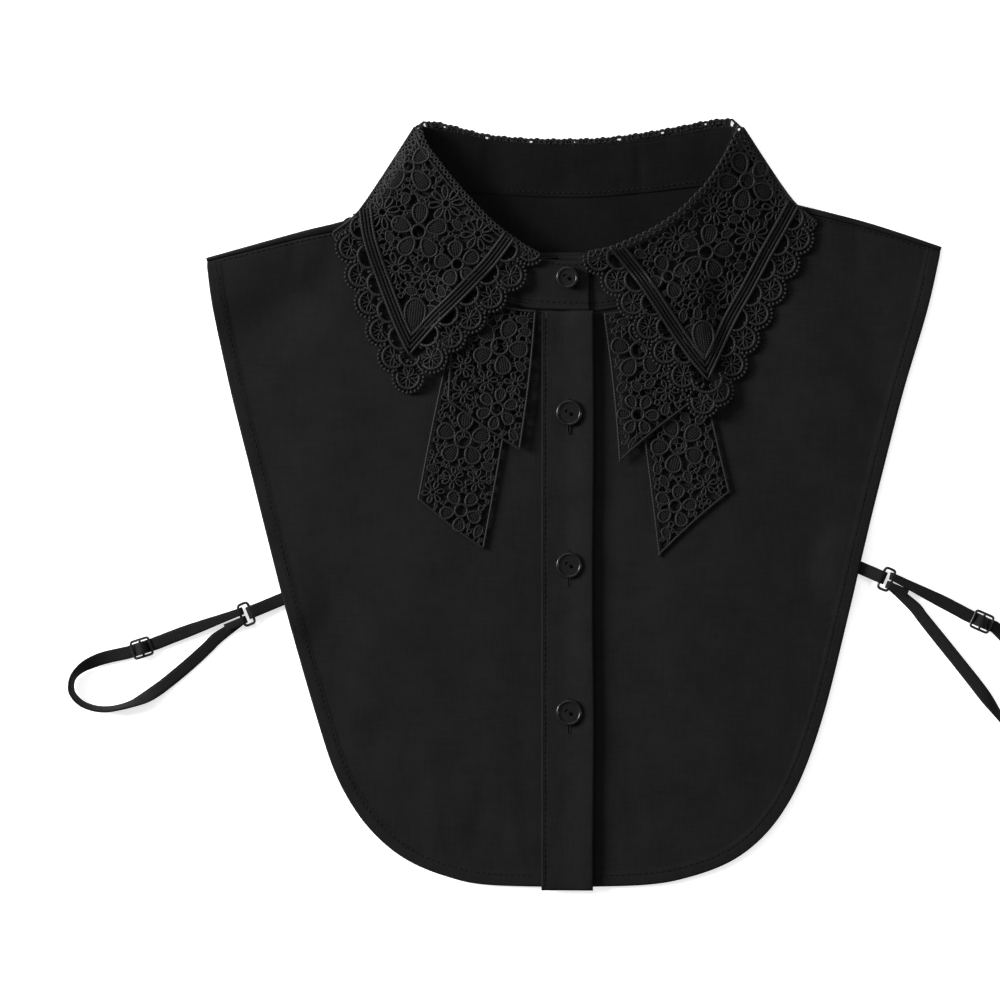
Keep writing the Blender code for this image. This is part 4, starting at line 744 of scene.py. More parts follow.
class Lacework:
    """Plans one piece of lace in the flat, then lays it on a surface as one mesh."""

    def __init__(self, weight=1.0):
        self.weight = weight
        self.cords, self.fills, self.beads = [], [], []
        self.marks, self.owners, self.owner, self.solid = [], [], 0, []

    def element(self):
        """The next motif; bars later join motifs with different numbers."""
        self.owner += 1

    def cord(self, line, radius=0.5, closed=False, lift=0.0, sides=6, marked=True, dull=0):
        line = np.asarray(line, float)
        if len(line) < 2:
            return
        self.cords.append((line, radius * self.weight, closed, lift, sides, dull))
        if marked:
            self.marks.append(line[:, :2])
            self.owners.append(np.full(len(line), self.owner))

    def ring(self, x, y, radius, thick=0.5, lift=0.0):
        self.cord(circle(x, y, radius), thick, True, lift)

    def petal(self, x, y, turn, long, wide, thick=0.58, filled=True, lift=0.0):
        """An egg outline: length times (1 - cos t) / 2 along, width times sin t / 2 across."""
        count = max(10, round((long + wide) * 1.25 / 0.85))
        t = np.arange(count) * math.tau / count
        along = long / 2 * (1 - np.cos(t))
        across = wide / 2 * np.sin(t) * (1 - 0.26 * np.cos(t))
        c, s = math.cos(turn), math.sin(turn)
        outline = np.stack([x + along * c - across * s, y + along * s + across * c], axis=1)
        self.cord(outline, thick, True, lift)
        if filled:
            middle = np.array([x + c * long * 0.52, y + s * long * 0.52])
            self.fills.append((outline, middle, np.stack([along, across], axis=1), lift))
            self.solid.append(middle + (outline - middle) * np.array([[[0.6]], [[0.25]]]))

    def flower(self, x, y, hub, petals, long, wide, turn, filled=True, thick=0.6, within=None):
        """A thick open ring with petals standing round it, each as long as the loop within lets it be."""
        self.element()
        self.ring(x, y, hub, thick, 0.12)
        self.solid.append(np.array([[[x, y]]]))
        for k in range(petals):
            at = turn + k * math.tau / petals
            way, reach = np.array([math.cos(at), math.sin(at)]), hub + thick * 0.8
            fits = [s for s in (1.0, 0.8, 0.6, 0.4)
                    if within is None or inside(([x, y] + way * (reach + long * s + 0.5))[None], within)[0]]
            if fits:
                self.petal(x + reach * way[0], y + reach * way[1], at, long * fits[0], wide * fits[0] ** 0.5,
                           thick, filled)

    def clear(self, places):
        """Distance from each place to the nearest planned cord."""
        marks = np.concatenate(self.marks + [part.reshape(-1, 2) for part in self.solid])
        return np.concatenate([np.linalg.norm(part[:, None] - marks[None], axis=2).min(1)
                               for part in np.array_split(places, max(1, len(places) // 400))])

    def fill_with(self, places, reach, make, random):
        """Puts a motif at each place, in random order, that is still clear by its reach."""
        if not len(places):
            return
        free = self.clear(places)
        for i in random.permutation(len(places)):
            if free[i] > reach:
                before, full = len(self.marks), len(self.solid)
                make(*places[i])
                added = [part.reshape(-1, 2) for part in self.solid[full:]]
                new = np.concatenate(self.marks[before:] + added)
                free = np.minimum(free, np.linalg.norm(places[:, None] - new[None], axis=2).min(1))

    def join(self, longest=3.8, ways=7, thick=0.42):
        """Short bars from points round each motif to the nearest point of another motif."""
        marks, owners = np.concatenate(self.marks), np.concatenate(self.owners)
        starts = []
        for owner in np.unique(owners):
            own = np.flatnonzero(owners == owner)
            count = max(ways, len(own) // 9)
            starts.append(own[np.linspace(0, len(own), count, endpoint=False).astype(int)])
        for at in np.concatenate(starts):
            gap = np.linalg.norm(marks - marks[at], axis=1)
            gap[owners == owners[at]] = 99.0
            to = int(gap.argmin())
            if 0.5 < gap[to] < longest:
                share = np.linspace(0, 1, 3)[:, None]
                self.cord(marks[at] + (marks[to] - marks[at]) * share, thick, False, -0.08, 5, marked=False)

    def build(self, name, surface):
        """The mesh: a ring of points round each cord point, domes in petals, and small spheres for beads."""
        points, quads, quad_uv, quad_slot, count = [], [], [], [], 0
        tris, tri_uv, tri_slot = [np.zeros((0, 3), int)], [np.zeros((0, 3, 2))], [np.zeros(0, int)]
        flat = np.concatenate([c[0][:, :2] for c in self.cords])
        heights = np.split(surface(flat[:, 0], flat[:, 1]), np.cumsum([len(c[0]) for c in self.cords])[:-1])
        for (line, radius, closed, lift, sides, dull), height in zip(self.cords, heights):
            z = line[:, 2] if line.shape[1] == 3 else height + lift
            centre = np.column_stack([line[:, :2], z])
            way = np.roll(centre, -1, 0) - np.roll(centre, 1, 0) if closed else np.gradient(centre, axis=0)
            way /= np.maximum(np.linalg.norm(way, axis=1), 1e-9)[:, None]
            side = np.stack([way[:, 1], -way[:, 0], np.zeros(len(way))], axis=1)
            side /= np.maximum(np.linalg.norm(side, axis=1), 1e-6)[:, None]
            up = np.cross(side, way)
            turn = np.arange(sides) * math.tau / sides
            ring = centre[:, None] + radius * (np.cos(turn)[:, None] * side[:, None]
                                               + np.sin(turn)[:, None] * up[:, None])
            n = len(line)
            rows = np.arange(n if closed else n - 1)
            k = np.arange(sides)
            a = (count + rows * sides)[:, None]
            b = (count + (rows + 1) % n * sides)[:, None]
            corners = [a + k, b + k, b + (k + 1) % sides, a + (k + 1) % sides]
            quads.append(np.stack(corners, axis=2).reshape(-1, 4))
            quad_slot.append(np.full(len(rows) * sides, dull))
            after = centre[:1] if closed else centre[-1:]
            step = np.linalg.norm(np.diff(centre, axis=0, append=after), axis=1)
            along = np.concatenate([[0], np.cumsum(step)]) * MM
            u0, v0 = np.broadcast_arrays(k / sides, along[rows][:, None])
            u1, v1 = np.broadcast_arrays((k + 1) / sides, along[rows + 1][:, None])
            quad_uv.append(np.stack([u0, v0, u0, v1, u1, v1, u1, v0], axis=2).reshape(-1, 4, 2))
            points.append(ring.reshape(-1, 3))
            count += n * sides
            if not closed:
                poles = centre[[0, -1]] + way[[0, -1]] * np.array([[-0.6], [0.6]]) * radius
                points.append(poles)
                last = count - sides
                first = count - n * sides
                start = np.stack([np.full(sides, count), first + k, first + (k + 1) % sides], axis=1)
                end = np.stack([np.full(sides, count + 1), last + (k + 1) % sides, last + k], axis=1)
                tris += [start, end]
                tri_uv.append(np.zeros((2 * sides, 3, 2)))
                tri_slot.append(np.full(2 * sides, dull))
                count += 2
        for outline, middle, local, lift in self.fills:
            n = len(outline)
            base = surface(*middle[:, None])[0] + lift
            edge = surface(outline[:, 0], outline[:, 1]) + lift
            rows = []
            for share, high in ((0.97, -0.25), (0.93, 0.1), (0.6, 0.2), (0.28, 0.25)):
                rows.append(np.column_stack([middle + (outline - middle) * share,
                                             base + (edge - base) * share + high]))
            top, low = np.append(middle, base + 0.27), np.append(middle, base - 0.3)
            points.append(np.concatenate([*rows, [top, low]]))
            k = np.arange(n)
            place = (local - local.mean(0)) * MM
            for r in range(3):
                a, b = count + r * n, count + (r + 1) * n
                quads.append(np.stack([a + k, a + (k + 1) % n, b + (k + 1) % n, b + k], axis=1))
                s0, s1 = (0.97, 0.93, 0.6, 0.28)[r:r + 2]
                uv0, uv1 = place[:, ::-1] * s0, place[:, ::-1] * s1
                quad_uv.append(np.stack([uv0, np.roll(uv0, -1, 0), np.roll(uv1, -1, 0), uv1], axis=1))
            inner = count + 3 * n
            tris.append(np.stack([inner + k, inner + (k + 1) % n, np.full(n, count + 4 * n)], axis=1))
            uv = place[:, ::-1] * 0.28
            tri_uv.append(np.stack([uv, np.roll(uv, -1, 0), np.zeros_like(uv)], axis=1))
            tris.append(np.stack([count + (k + 1) % n, count + k, np.full(n, count + 4 * n + 1)], axis=1))
            tri_uv.append(np.zeros((n, 3, 2)))
            quad_slot.append(np.ones(3 * n, int))
            tri_slot.append(np.ones(2 * n, int))
            count += 4 * n + 2
        if self.beads:
            beads = np.array(self.beads)
            high = surface(beads[:, 0], beads[:, 1])
            lat, lon = np.radians((-45, 0, 45)), np.arange(6) * math.tau / 6
            ball = np.stack([np.outer(np.cos(lat), np.cos(lon)), np.outer(np.cos(lat), np.sin(lon)),
                             np.outer(np.sin(lat), np.ones(6))], axis=2).reshape(-1, 3)
            ball = np.concatenate([ball, [[0, 0, -1], [0, 0, 1]]])
            centre = np.column_stack([beads[:, :2], high])
            points.append((centre[:, None] + ball * beads[:, 2][:, None, None]).reshape(-1, 3))
            k = np.arange(6)
            shell = np.concatenate([np.stack([r + k, r + (k + 1) % 6, r + 6 + (k + 1) % 6, r + 6 + k], axis=1)
                                    for r in (0, 6)])
            caps = np.concatenate([np.stack([(k + 1) % 6, k, np.full(6, 18)], axis=1),
                                   np.stack([12 + k, 12 + (k + 1) % 6, np.full(6, 19)], axis=1)])
            start = (count + np.arange(len(beads)) * 20)[:, None, None]
            quads.append((start + shell).reshape(-1, 4))
            quad_uv.append(np.zeros((len(beads) * len(shell), 4, 2)))
            tris.append((start + caps).reshape(-1, 3))
            tri_uv.append(np.zeros((len(beads) * len(caps), 3, 2)))
        uv = np.concatenate([np.concatenate(quad_uv).reshape(-1, 2), np.concatenate(tri_uv).reshape(-1, 2)])
        mesh = mesh_from(name, np.concatenate(points), [np.concatenate(quads), np.concatenate(tris)], uv)
        slots = np.zeros(len(mesh.polygons), np.int32)
        slots[:len(np.concatenate(quad_slot))] = np.concatenate(quad_slot)
        all_quads = sum(map(len, quads))
        slots[all_quads:all_quads + len(np.concatenate(tri_slot))] = np.concatenate(tri_slot)
        mesh.polygons.foreach_set("material_index", slots)
        print(name, "triangles", 2 * all_quads + sum(map(len, tris)))
        return mesh


def runs(kept):
    """The index ranges of a mask's unbroken runs."""
    edges = np.flatnonzero(np.diff(np.concatenate([[False], kept, [False]]).astype(int)))
    return list(zip(edges[::2], edges[1::2]))


def hex_places(loop, spacing, random):
    """Jittered places inside a loop."""
    low, high = loop.min(0), loop.max(0)
    x, y = np.meshgrid(np.arange(low[0], high[0], spacing), np.arange(low[1], high[1], spacing))
    places = np.stack([x.ravel(), y.ravel()], axis=1) + random.uniform(-0.3, 0.3, (x.size, 2)) * spacing
    return places[inside(places, loop)]


# %% [markdown]
# ### Motifs between the large flowers
# The large flowers come first. Smaller flowers, leaves and rings then fill what is free, the larger
# kinds before the smaller, each at a random place that is clear of everything planned so far.

# %% Filling a field with motifs


def fill_field(work, field, random, flowers=True):
    """Fills a loop with ever smaller motifs and then joins them with bars."""
    places = hex_places(field, 1.1, random)
    to_edge = nearest(places, np.concatenate([field, field[:1]]))[0]

    def daisy(x, y):
        work.flower(x, y, 1.3, 6, 3.6, 2.0, random.uniform(0, 6), False, 0.55)

    def leaf(x, y):
        work.element()
        turn = random.uniform(0, math.tau)
        work.petal(x - 2.9 * math.cos(turn), y - 2.9 * math.sin(turn), turn, 5.8, 3.7)

    def clover(x, y):
        work.flower(x, y, 0.95, 4, 2.1, 1.7, random.uniform(0, 6), False, 0.48)

    def loop(x, y):
        work.element()
        work.ring(x, y, random.uniform(0.95, 1.25), 0.5)

    def bud(x, y):
        work.element()
        turn = random.uniform(0, math.tau)
        work.petal(x - 1.1 * math.cos(turn), y - 1.1 * math.sin(turn), turn, 2.3, 1.2, 0.46, False)

    if flowers:
        work.fill_with(places[to_edge > 5.9], 5.9, daisy, random)
    work.fill_with(places[to_edge > 3.5], 3.7, leaf, random)
    work.fill_with(places[to_edge > 3.4], 3.5, clover, random)
    work.fill_with(places[to_edge > 2.0], 2.3, loop, random)
    work.fill_with(places[to_edge > 1.6], 1.75, bud, random)
    work.join()


# %% Scallops of the border
PITCH = 13.5
CRESCENT_LONG, CRESCENT_DEEP, FAN_RADIUS, PICOT_REACH, PICOT = 5.3, 4.5, 5.2, 7.2, 0.9


def crescent(work, at, out, base, long=CRESCENT_LONG, deep=CRESCENT_DEEP):
    """Half an ellipse on the band: cos t times its half length along, sin t times its depth out."""
    work.element()
    along = np.array([-out[1], out[0]])
    t = np.linspace(0, math.pi, 15)
    line = at + out * base + np.outer(np.cos(t) * long, along) + np.outer(np.sin(t) * deep, out)
    work.cord(line, 0.86, lift=0.15)
    for side in (-1, 1):
        foot = at + out * base + along * side * (long + 1.3)
        work.cord(np.array([foot, foot + out * 2.4]), 0.42, marked=False, sides=5)


def fans(work, centres, outs, kept):
    """Open rings round small stars of loops, each with a row of knots outside it."""
    for (x, y), out in zip(centres, outs):
        work.element()
        heading = math.atan2(out[1], out[0])
        ring = circle(x, y, FAN_RADIUS, 36)
        ring = np.roll(ring, 18 - round(heading / math.tau * 36), axis=0)
        open_side = (ring - [x, y]) @ out > -0.3 * FAN_RADIUS
        for a, b in runs(kept(ring) & open_side):
            work.cord(ring[a:b], 0.82, lift=0.12)
        for k in range(7):
            turn = heading + k * math.tau / 7
            way = np.array([math.cos(turn), math.sin(turn)])
            if kept(([x, y] + way * 3.4)[None])[0]:
                work.petal(*([x, y] + way * 0.5), turn, FAN_RADIUS - 1.0, 1.7, 0.36, False)
        work.beads.append((x, y, 0.9))
    for i, (x, y) in enumerate(centres):
        knots = circle(x, y, PICOT_REACH, 23)
        away = np.linalg.norm(knots[:, None] - centres[None], axis=2)
        away[:, i] = 99.0
        ok = kept(knots) & (away.min(1) > PICOT_REACH - 0.75)
        for knot in knots[ok]:
            work.beads.append((*knot, PICOT))
            foot = np.array([x, y]) + (knot - [x, y]) * (FAN_RADIUS + 0.2) / PICOT_REACH
            work.cord(np.array([foot, knot]), 0.26, lift=-0.25, marked=False, sides=4)


print("scallop pitch", PITCH)


def laid(name, mesh, nodes):
    """A finished piece of lace: its thread, its filling stitch, and a darker, less glossy band thread as
    painted shade.
    """
    made = dressed(name, mesh, thread, nodes)
    mesh.materials.append(filling)
    mesh.materials.append(shaded_band_thread)
    areas = np.empty(len(mesh.polygons), np.float32)
    mesh.polygons.foreach_get("area", areas)
    print(name, "half its surface in square metres", round(float(areas.sum()) / 2, 5))
    return made

# %% [markdown]
# ### The pointed leaves
# Each leaf has a corded band in the shape of a V, flowers inside it, and a scalloped border outside
# it. The leaf arches: it is highest at the roll line round the neck, and falls to the panels.

# %% Lines of the leaves
ROLLS = {
    -1: ((-67.2, 178.9), (-62.6, 168.0), (-57.3, 160.7), (-49.8, 151.3), (-42.3, 142.9), (-33.8, 134.0),
         (-25.4, 127.0), (-16.0, 120.6), (-8.4, 116.6)),
    1: ((84.0, 178.8), (80.4, 169.6), (75.2, 160.3), (69.1, 150.9), (63.0, 144.4), (55.5, 137.0),
        (44.2, 129.3), (33.0, 123.9), (23.0, 120.0), (11.0, 117.4)),
}
FOLDS = {
    -1: ((-68.0, 178.2), (-90.6, 143.8), (-98.6, 134.2), (-107.0, 128.0)),
    1: ((85.2, 178.0), (103.2, 150.9), (111.4, 140.4), (120.4, 133.0)),
}
BANDS = {  # the middle of the corded band from the side to the centre front, by way of the tip
    -1: ((-91.6, 138.4), (-89.4, 124.1), (-82.9, 104.8), (-75.9, 86.5), (-70.5, 74.7), (-59.9, 86.5),
         (-50.2, 95.9), (-40.9, 105.3), (-32.4, 114.4), (-24.0, 125.6)),
    1: ((109.0, 140.6), (103.6, 130.6), (96.5, 118.0), (88.1, 102.0), (79.4, 86.5), (68.4, 63.0),
        (60.9, 72.4), (51.2, 86.5), (38.8, 105.0), (25.6, 121.5)),
}
BAND_TIPS = {-1: 4, 1: 5}
LEAF_FALL = {-1: 1.6, 1: 3.2}
ROLL_CHAINS = {-1: (2.5, 1.0, 0.46), 1: (3.3, 1.35, 0.66)}  # spacing, ring radius, thread radius
# Offset, radius, lift and material slot of each band cord; slot 2, on the two lower middle cords, is the
# darker thread of painted shade.
BAND_CORDS = ((-2.55, 0.86, 0.4, 0), (-0.85, 0.86, 0.05, 2), (0.85, 0.86, 0.05, 2), (2.55, 0.86, 0.4, 0))
Border = namedtuple("Border", "front side first_front first_side fan_front fan_side tip_fans crescent")
BORDERS = {
    -1: Border(20.2, 17.7, 0.66, 0.38, 11.5, 9.3, ((-0.9, -15.2),), (5.0, 4.7, 5.0)),
    1: Border(18.5, 17.8, 0.95, 1.05, 9.9, 9.8, ((-1.4, -15.2), (5.4, -9.8)), (4.0, 7.0, 6.6)),
}
FLOWERS = {  # x, y, hub radius, petals, length, width, turn
    -1: ((-66.4, 127.6, 3.3, 5, 9.4, 6.8, 1.5), (-71.0, 158.0, 2.6, 4, 10.5, 7.0, -0.85),
         (-48.2, 112.4, 2.7, 5, 7.4, 6.2, 1.7)),
    1: ((87.4, 151.4, 3.5, 5, 9.6, 7.4, 0.7), (68.2, 118.0, 3.3, 5, 9.0, 6.8, 1.4),
        (50.4, 106.6, 2.6, 4, 7.4, 6.0, 0.4)),
}
# Filled discs, set a little low over the fold: partly the lace layer beneath, partly painted shade that
# closes the gaps over the table.
FOLD_GAP_DISCS = {  # x, y and reach of plain discs that close the widest gaps over the fold
    -1: ((-77.0, 155.6, 2.6), (-82.6, 146.6, 3.2), (-75.0, 160.6, 2.2), (-78.6, 150.4, 2.4)),
    1: ((88.6, 152.2, 3.2), (93.0, 149.2, 2.8), (91.4, 156.0, 2.6)),
}
DAISIES = {  # x, y, hub radius, petals, length, width, turn
    -1: ((-83.4, 136.8, 1.9, 8, 5.9, 2.6, 0.2), (-53.4, 140.6, 1.9, 8, 6.0, 2.6, 0.1),
         (-38.6, 126.4, 1.8, 7, 5.6, 2.6, 0.5), (-77.2, 110.6, 1.8, 7, 5.0, 2.5, 0.9),
         (-63.4, 106.6, 1.6, 6, 4.2, 2.5, 0.3)),
    1: ((89.6, 125.6, 1.9, 8, 5.8, 2.6, 0.4), (79.6, 101.4, 1.9, 8, 5.4, 2.5, 0.0),
        (65.8, 99.8, 1.6, 6, 4.2, 2.5, 0.6), (54.6, 124.6, 1.7, 7, 4.6, 2.4, 0.2),
        (101.0, 138.2, 1.6, 6, 4.4, 2.5, 0.8), (71.8, 137.6, 1.7, 7, 4.8, 2.4, 0.5)),
}
ROLL_SHARES = (0.0, 0.1, 0.25, 0.45, 0.65, 0.85, 1.0)
ROLL_HEIGHTS = (9.6, 12.0, 13.4, 13.8, 13.4, 12.2, 11.4)
ROLL_LINES = {side: spline(ROLLS[side], 1.5) for side in (-1, 1)}
FOLD_LINES = {side: spline(FOLDS[side], 1.5) for side in (-1, 1)}
print("roll lengths", [round(float(np.linalg.norm(np.diff(line, axis=0), axis=1).sum()))
                       for line in ROLL_LINES.values()])


# %% Heights of the leaves and tails


def leaf_middle(side):
    """The middle of a leaf's thickness: what it lies on, plus an arch that falls from the roll line."""
    def surface(x, y):
        into = (x + 71.0 + 0.2 * (60 - y)) / 13.0 if side < 0 else (83.5 + 0.2 * (60 - y) - x) / 13.0
        rest = front_top(x, y) + GAP + 0.5 + ease(into) * ease((110 - y) / 6) * 2 * (LACE + GAP)
        points = np.stack([x, y], axis=1)
        away, share = nearest(points, ROLL_LINES[side])
        crest = np.interp(share, ROLL_SHARES, ROLL_HEIGHTS)
        high = rest + np.maximum(crest - rest, 0) * np.clip(1 - away / 66.0, 0, 1) ** LEAF_FALL[side]
        edge, share = nearest(points, FOLD_LINES[side])
        low = np.interp(share, (0.0, 0.3, 0.55, 0.8, 1.0), (8.0, 5.0, 4.6, 6.2, 6.4))
        fall = 1 - np.sqrt(1 - (1 - np.clip(edge / 8.0, 0, 1)) ** 2)
        return high - np.maximum(high - low, 0) * fall + LACE / 2
    return surface


def tail_middle(layer, side):
    """The middle of a tail: the front, a curl towards its inner edge, and the tail below it."""
    def surface(x, y):
        inner = -10.0 if side < 0 else 22.0
        curl = 1.3 * ease(1 - np.abs(x - inner) / 34.0) * ease((96 - y) / 40)
        return front_top(x, y) + GAP + 0.2 + 0.5 * curl + layer * (LACE + GAP) + LACE / 2
    return surface


print("leaf height near its tip", round(float(leaf_middle(-1)(np.array([-70.0]), np.array([70.0]))[0]), 2))

# %% Leaves


def offset_v(rows, tip_row, offset):
    """A line beside a bent band: both legs moved sideways and cut where they meet."""
    legs = [spline(rows[:tip_row + 1], 0.9), spline(rows[tip_row:], 0.9)]
    moved = [leg + normals_of(leg) * offset for leg in legs]
    a, b = moved[0][-1], moved[1][0]
    ahead = [leg[-1] - leg[-6] if i == 0 else leg[5] - leg[0] for i, leg in enumerate(legs)]
    t = np.linalg.solve(np.stack([ahead[0], -ahead[1]], axis=1), b - a)
    corner = a + ahead[0] * t[0]
    if t[0] >= 0:
        return np.concatenate([moved[0], corner[None], moved[1]])
    first = moved[0][np.linalg.norm(moved[0] - a, axis=1) > np.linalg.norm(corner - a)]
    last = moved[1][np.linalg.norm(moved[1] - b, axis=1) > np.linalg.norm(corner - b)]
    return np.concatenate([first, corner[None], last])


def legs_of(side):
    """The two legs of the band from the tip: towards the centre front and towards the side."""
    rows, tip_row = BANDS[side], BAND_TIPS[side]
    return spline(rows[tip_row:], 0.9), spline(rows[:tip_row + 1][::-1], 0.9)


def along_leg(leg, distance):
    """The place at a distance along a leg, carried straight on before its start."""
    long = np.concatenate([[0], np.cumsum(np.linalg.norm(np.diff(leg, axis=0), axis=1))])
    place = np.array([np.interp(distance, long, leg[:, k]) for k in (0, 1)])
    way = leg[6] - leg[0]
    return place + way / np.linalg.norm(way) * min(distance, 0), long[-1]


def lace_leaf(side):
    """One leaf: band cords, fans and moons outside the band, flowers inside it, then the filling."""
    random = np.random.default_rng(40 + side)
    work, border = Lacework(0.9), BORDERS[side]
    rows, tip_row = BANDS[side], BAND_TIPS[side]
    tip = np.array(rows[tip_row])
    roll, fold = ROLL_LINES[side], FOLD_LINES[side]
    middle = np.concatenate([spline(rows[:tip_row + 1], 0.9), spline(rows[tip_row:], 0.9)[1:]])
    below = [[roll[-1, 0] - side * 1.0, 30.0], [fold[-1, 0] + side * 4.0, 30.0]]
    clip = np.concatenate([roll, below, fold[::-1]])
    for offset, radius, lift, dull in BAND_CORDS:
        work.element()
        line = offset_v(rows, tip_row, offset)
        for a, b in runs(inside(line, clip)):
            work.cord(line[a:b], radius, lift=lift, dull=dull)
    centres, outs, moons = [], [], []
    plans = ((border.first_front, border.fan_front, -side), (border.first_side, border.fan_side, side))
    for leg, (first, fan, way) in zip(legs_of(side), plans):
        normal = normals_of(leg) * way
        total = along_leg(leg, 0.0)[1]
        for k in range(-1, 12):
            at = (first + k) * PITCH
            out = normal[min(max(int(at / 0.9), 2), len(leg) - 2)]
            if k >= 0 and at < total + 4:
                moons.append((along_leg(leg, min(at, total))[0], out))
            at += PITCH / 2 if way * side > 0 or side < 0 else PITCH * 0.4
            if -4.0 < at < total + 9:
                place, _ = along_leg(leg, min(at, total))
                centres.append(place + out * fan + (leg[-1] - leg[-4]) / 2.7 * max(at - total, 0))
                outs.append(out)
    for place in border.tip_fans:
        centres.append(tip + place)
        outs.append(np.array(place) / np.hypot(*place))
    centres, outs = np.array(centres), np.array(outs)

    def kept(points):
        return (nearest(points, middle)[0] > 6.4) & inside(points, clip) & ~inside(points, inner)

    back_up = roll[::-1][(roll[::-1, 0] - middle[-1, 0]) * side > 0]
    inner = np.concatenate([middle, back_up, fold[fold[:, 1] > 141]])
    near = inside(centres, clip)
    fans(work, centres[near], outs[near], kept)
    for place, out in moons:
        if inside((place + out * 6.0)[None], clip)[0]:
            crescent(work, place, out, 3.3)
    base, long, deep = border.crescent
    crescent(work, tip, np.array([0.05 * side, -1.0]), base, long, deep)
    # Dark discs over the fold: partly the lace layer beneath, partly painted shade in the gaps.
    for x, y, reach in FOLD_GAP_DISCS[side]:
        work.petal(x - reach, y, 0.0, 2 * reach, 1.9 * reach, 0.5, lift=-0.3)
    field_fold = fold[fold[:, 1] > middle[0, 1]]
    front = roll[(roll[:, 0] - middle[-1, 0]) * side > 2.0]
    field = np.concatenate([front, offset_v(rows, tip_row, 0.0)[::-1], field_fold[::-1]])
    into = (np.array([np.mean([middle[0, 0], middle[-1, 0]]), 130.0]) - tip) / 60
    heading = math.atan2(into[1], into[0])
    work.element()
    work.petal(*(tip + into * 6.2), heading + 0.12, 16.0, 9.4, 0.72, lift=0.45)
    work.element()
    work.petal(*(tip + into * 9.0 + [-side * 3.4, 0.0]), heading + side * 0.42, 11.5, 8.6, 0.66)
    for x, y, hub, petals, length, width, turn in FLOWERS[side]:
        work.flower(x, y, hub, petals, length, width, turn, thick=0.74, within=field)
    for x, y, hub, petals, length, width, turn in DAISIES[side]:
        work.flower(x, y, hub, petals, length, width, turn, False, 0.6, field)
    work.element()
    spacing, radius, thick = ROLL_CHAINS[side]
    chain = evenly(roll, spacing)
    towards = normals_of(chain) * -side
    for place in (chain + towards * (radius - 0.4))[1:-1]:
        work.ring(*place, radius, thick, 0.3)
    work.cord((roll + normals_of(roll) * -side * 3.0)[2:-1], 0.5)
    work.cord((fold + normals_of(fold) * side * 0.7)[1:], 0.72)
    for inset, radius in ((2.0, 1.0), (4.4, 1.25)):
        row = evenly(fold, 2.7)
        for place in (row + normals_of(row) * side * inset)[1:]:
            work.ring(*place, radius, 0.5, -0.15)
    fill_field(work, field, random)
    name = "left" if side < 0 else "right"
    mesh = work.build(f"lace_collar_{name}", leaf_middle(side))
    return laid(f"lace_collar_{name}", mesh, (f"lace_leaf_{name}",))


leaves = {side: lace_leaf(side) for side in (-1, 1)}

# %% [markdown]
# ### The tails and the back of the collar
# Two pairs of tails hang from the neck seam, the short ones on the long ones, each with a corded
# edge and a slanted end. The back of the collar lies under the back panel. Only its top edge shows
# from above, but it is made in full, because the part is turned over too.

# %% Tails
Tail = namedtuple("Tail", "name side layer corners flowers")
TAILS = (
    Tail("long_left", -1, 0, ((-46.0, 101.8), (-17.4, 91.4), (-35.8, -21.8), (-67.2, 2.4)),
         ((-45.6, 30.4, 3.9, 5, 8.2, 7.0, 0.2), (-46.6, -3.0, 2.9, 5, 6.4, 5.2, 0.8))),
    Tail("short_left", -1, 1, ((-48.4, 102.8), (-11.2, 91.0), (-18.8, 24.8), (-53.2, 48.8)),
         ((-28.4, 74.0, 3.9, 5, 8.6, 7.0, 1.1), (-29.6, 44.6, 2.9, 6, 6.2, 4.6, 0.3))),
    Tail("long_right", 1, 0, ((59.2, 101.6), (30.0, 90.8), (46.0, -24.9), (79.8, 5.6)),
         ((55.4, 27.4, 3.9, 5, 8.2, 7.0, 0.7), (54.0, -1.0, 2.9, 5, 6.4, 5.2, 0.1))),
    Tail("short_right", 1, 1, ((61.2, 103.2), (20.0, 89.6), (27.4, 19.3), (62.0, 47.6)),
         ((36.8, 72.0, 3.9, 5, 8.6, 7.0, 0.4), (36.4, 42.0, 2.9, 6, 6.2, 4.6, 1.0))),
)


def tail_outline(row):
    """Four sides between the corners, each bowed by a sine of its share."""
    corners, sides = [np.array(c) for c in row.corners], []
    for k, (a, b) in enumerate(zip(corners, corners[1:] + corners[:1])):
        share = np.linspace(0, 1, max(4, round(np.linalg.norm(b - a) / 1.0)), endpoint=False)[:, None]
        way = (b - a) / np.linalg.norm(b - a)
        bow = np.sin(share * math.pi) * (3.0 * row.side if k == 0 else 0.8) * np.array([[-way[1], way[0]]])
        sides.append(a + (b - a) * share + bow)
    return np.concatenate(sides)


def shrunk(loop, by):
    """A closed loop moved inwards by a distance."""
    way = np.roll(loop, -1, 0) - np.roll(loop, 1, 0)
    way /= np.linalg.norm(way, axis=1)[:, None]
    normal = np.stack([way[:, 1], -way[:, 0]], axis=1)
    moved = loop + normal * by
    return moved if inside(moved[len(loop) // 3][None], loop)[0] else loop - normal * by


def lace_tail(row, seed):
    """One tail: an edge cord round its outline, with flowers and filling inside."""
    random = np.random.default_rng(seed)
    work = Lacework(0.9)
    outline = tail_outline(row)
    work.element()
    work.cord(shrunk(outline, 0.65), 0.62, True, 0.05)
    for x, y, hub, petals, length, width, turn in row.flowers:
        work.flower(x, y, hub, petals, length, width, turn, thick=0.74)
    fill_field(work, outline, random)
    mesh = work.build(f"lace_tail_{row.name}", tail_middle(row.layer, row.side))
    return laid(f"lace_tail_{row.name}", mesh, (f"tail_{row.name}",))


tails = [lace_tail(row, 60 + k) for k, row in enumerate(TAILS)]

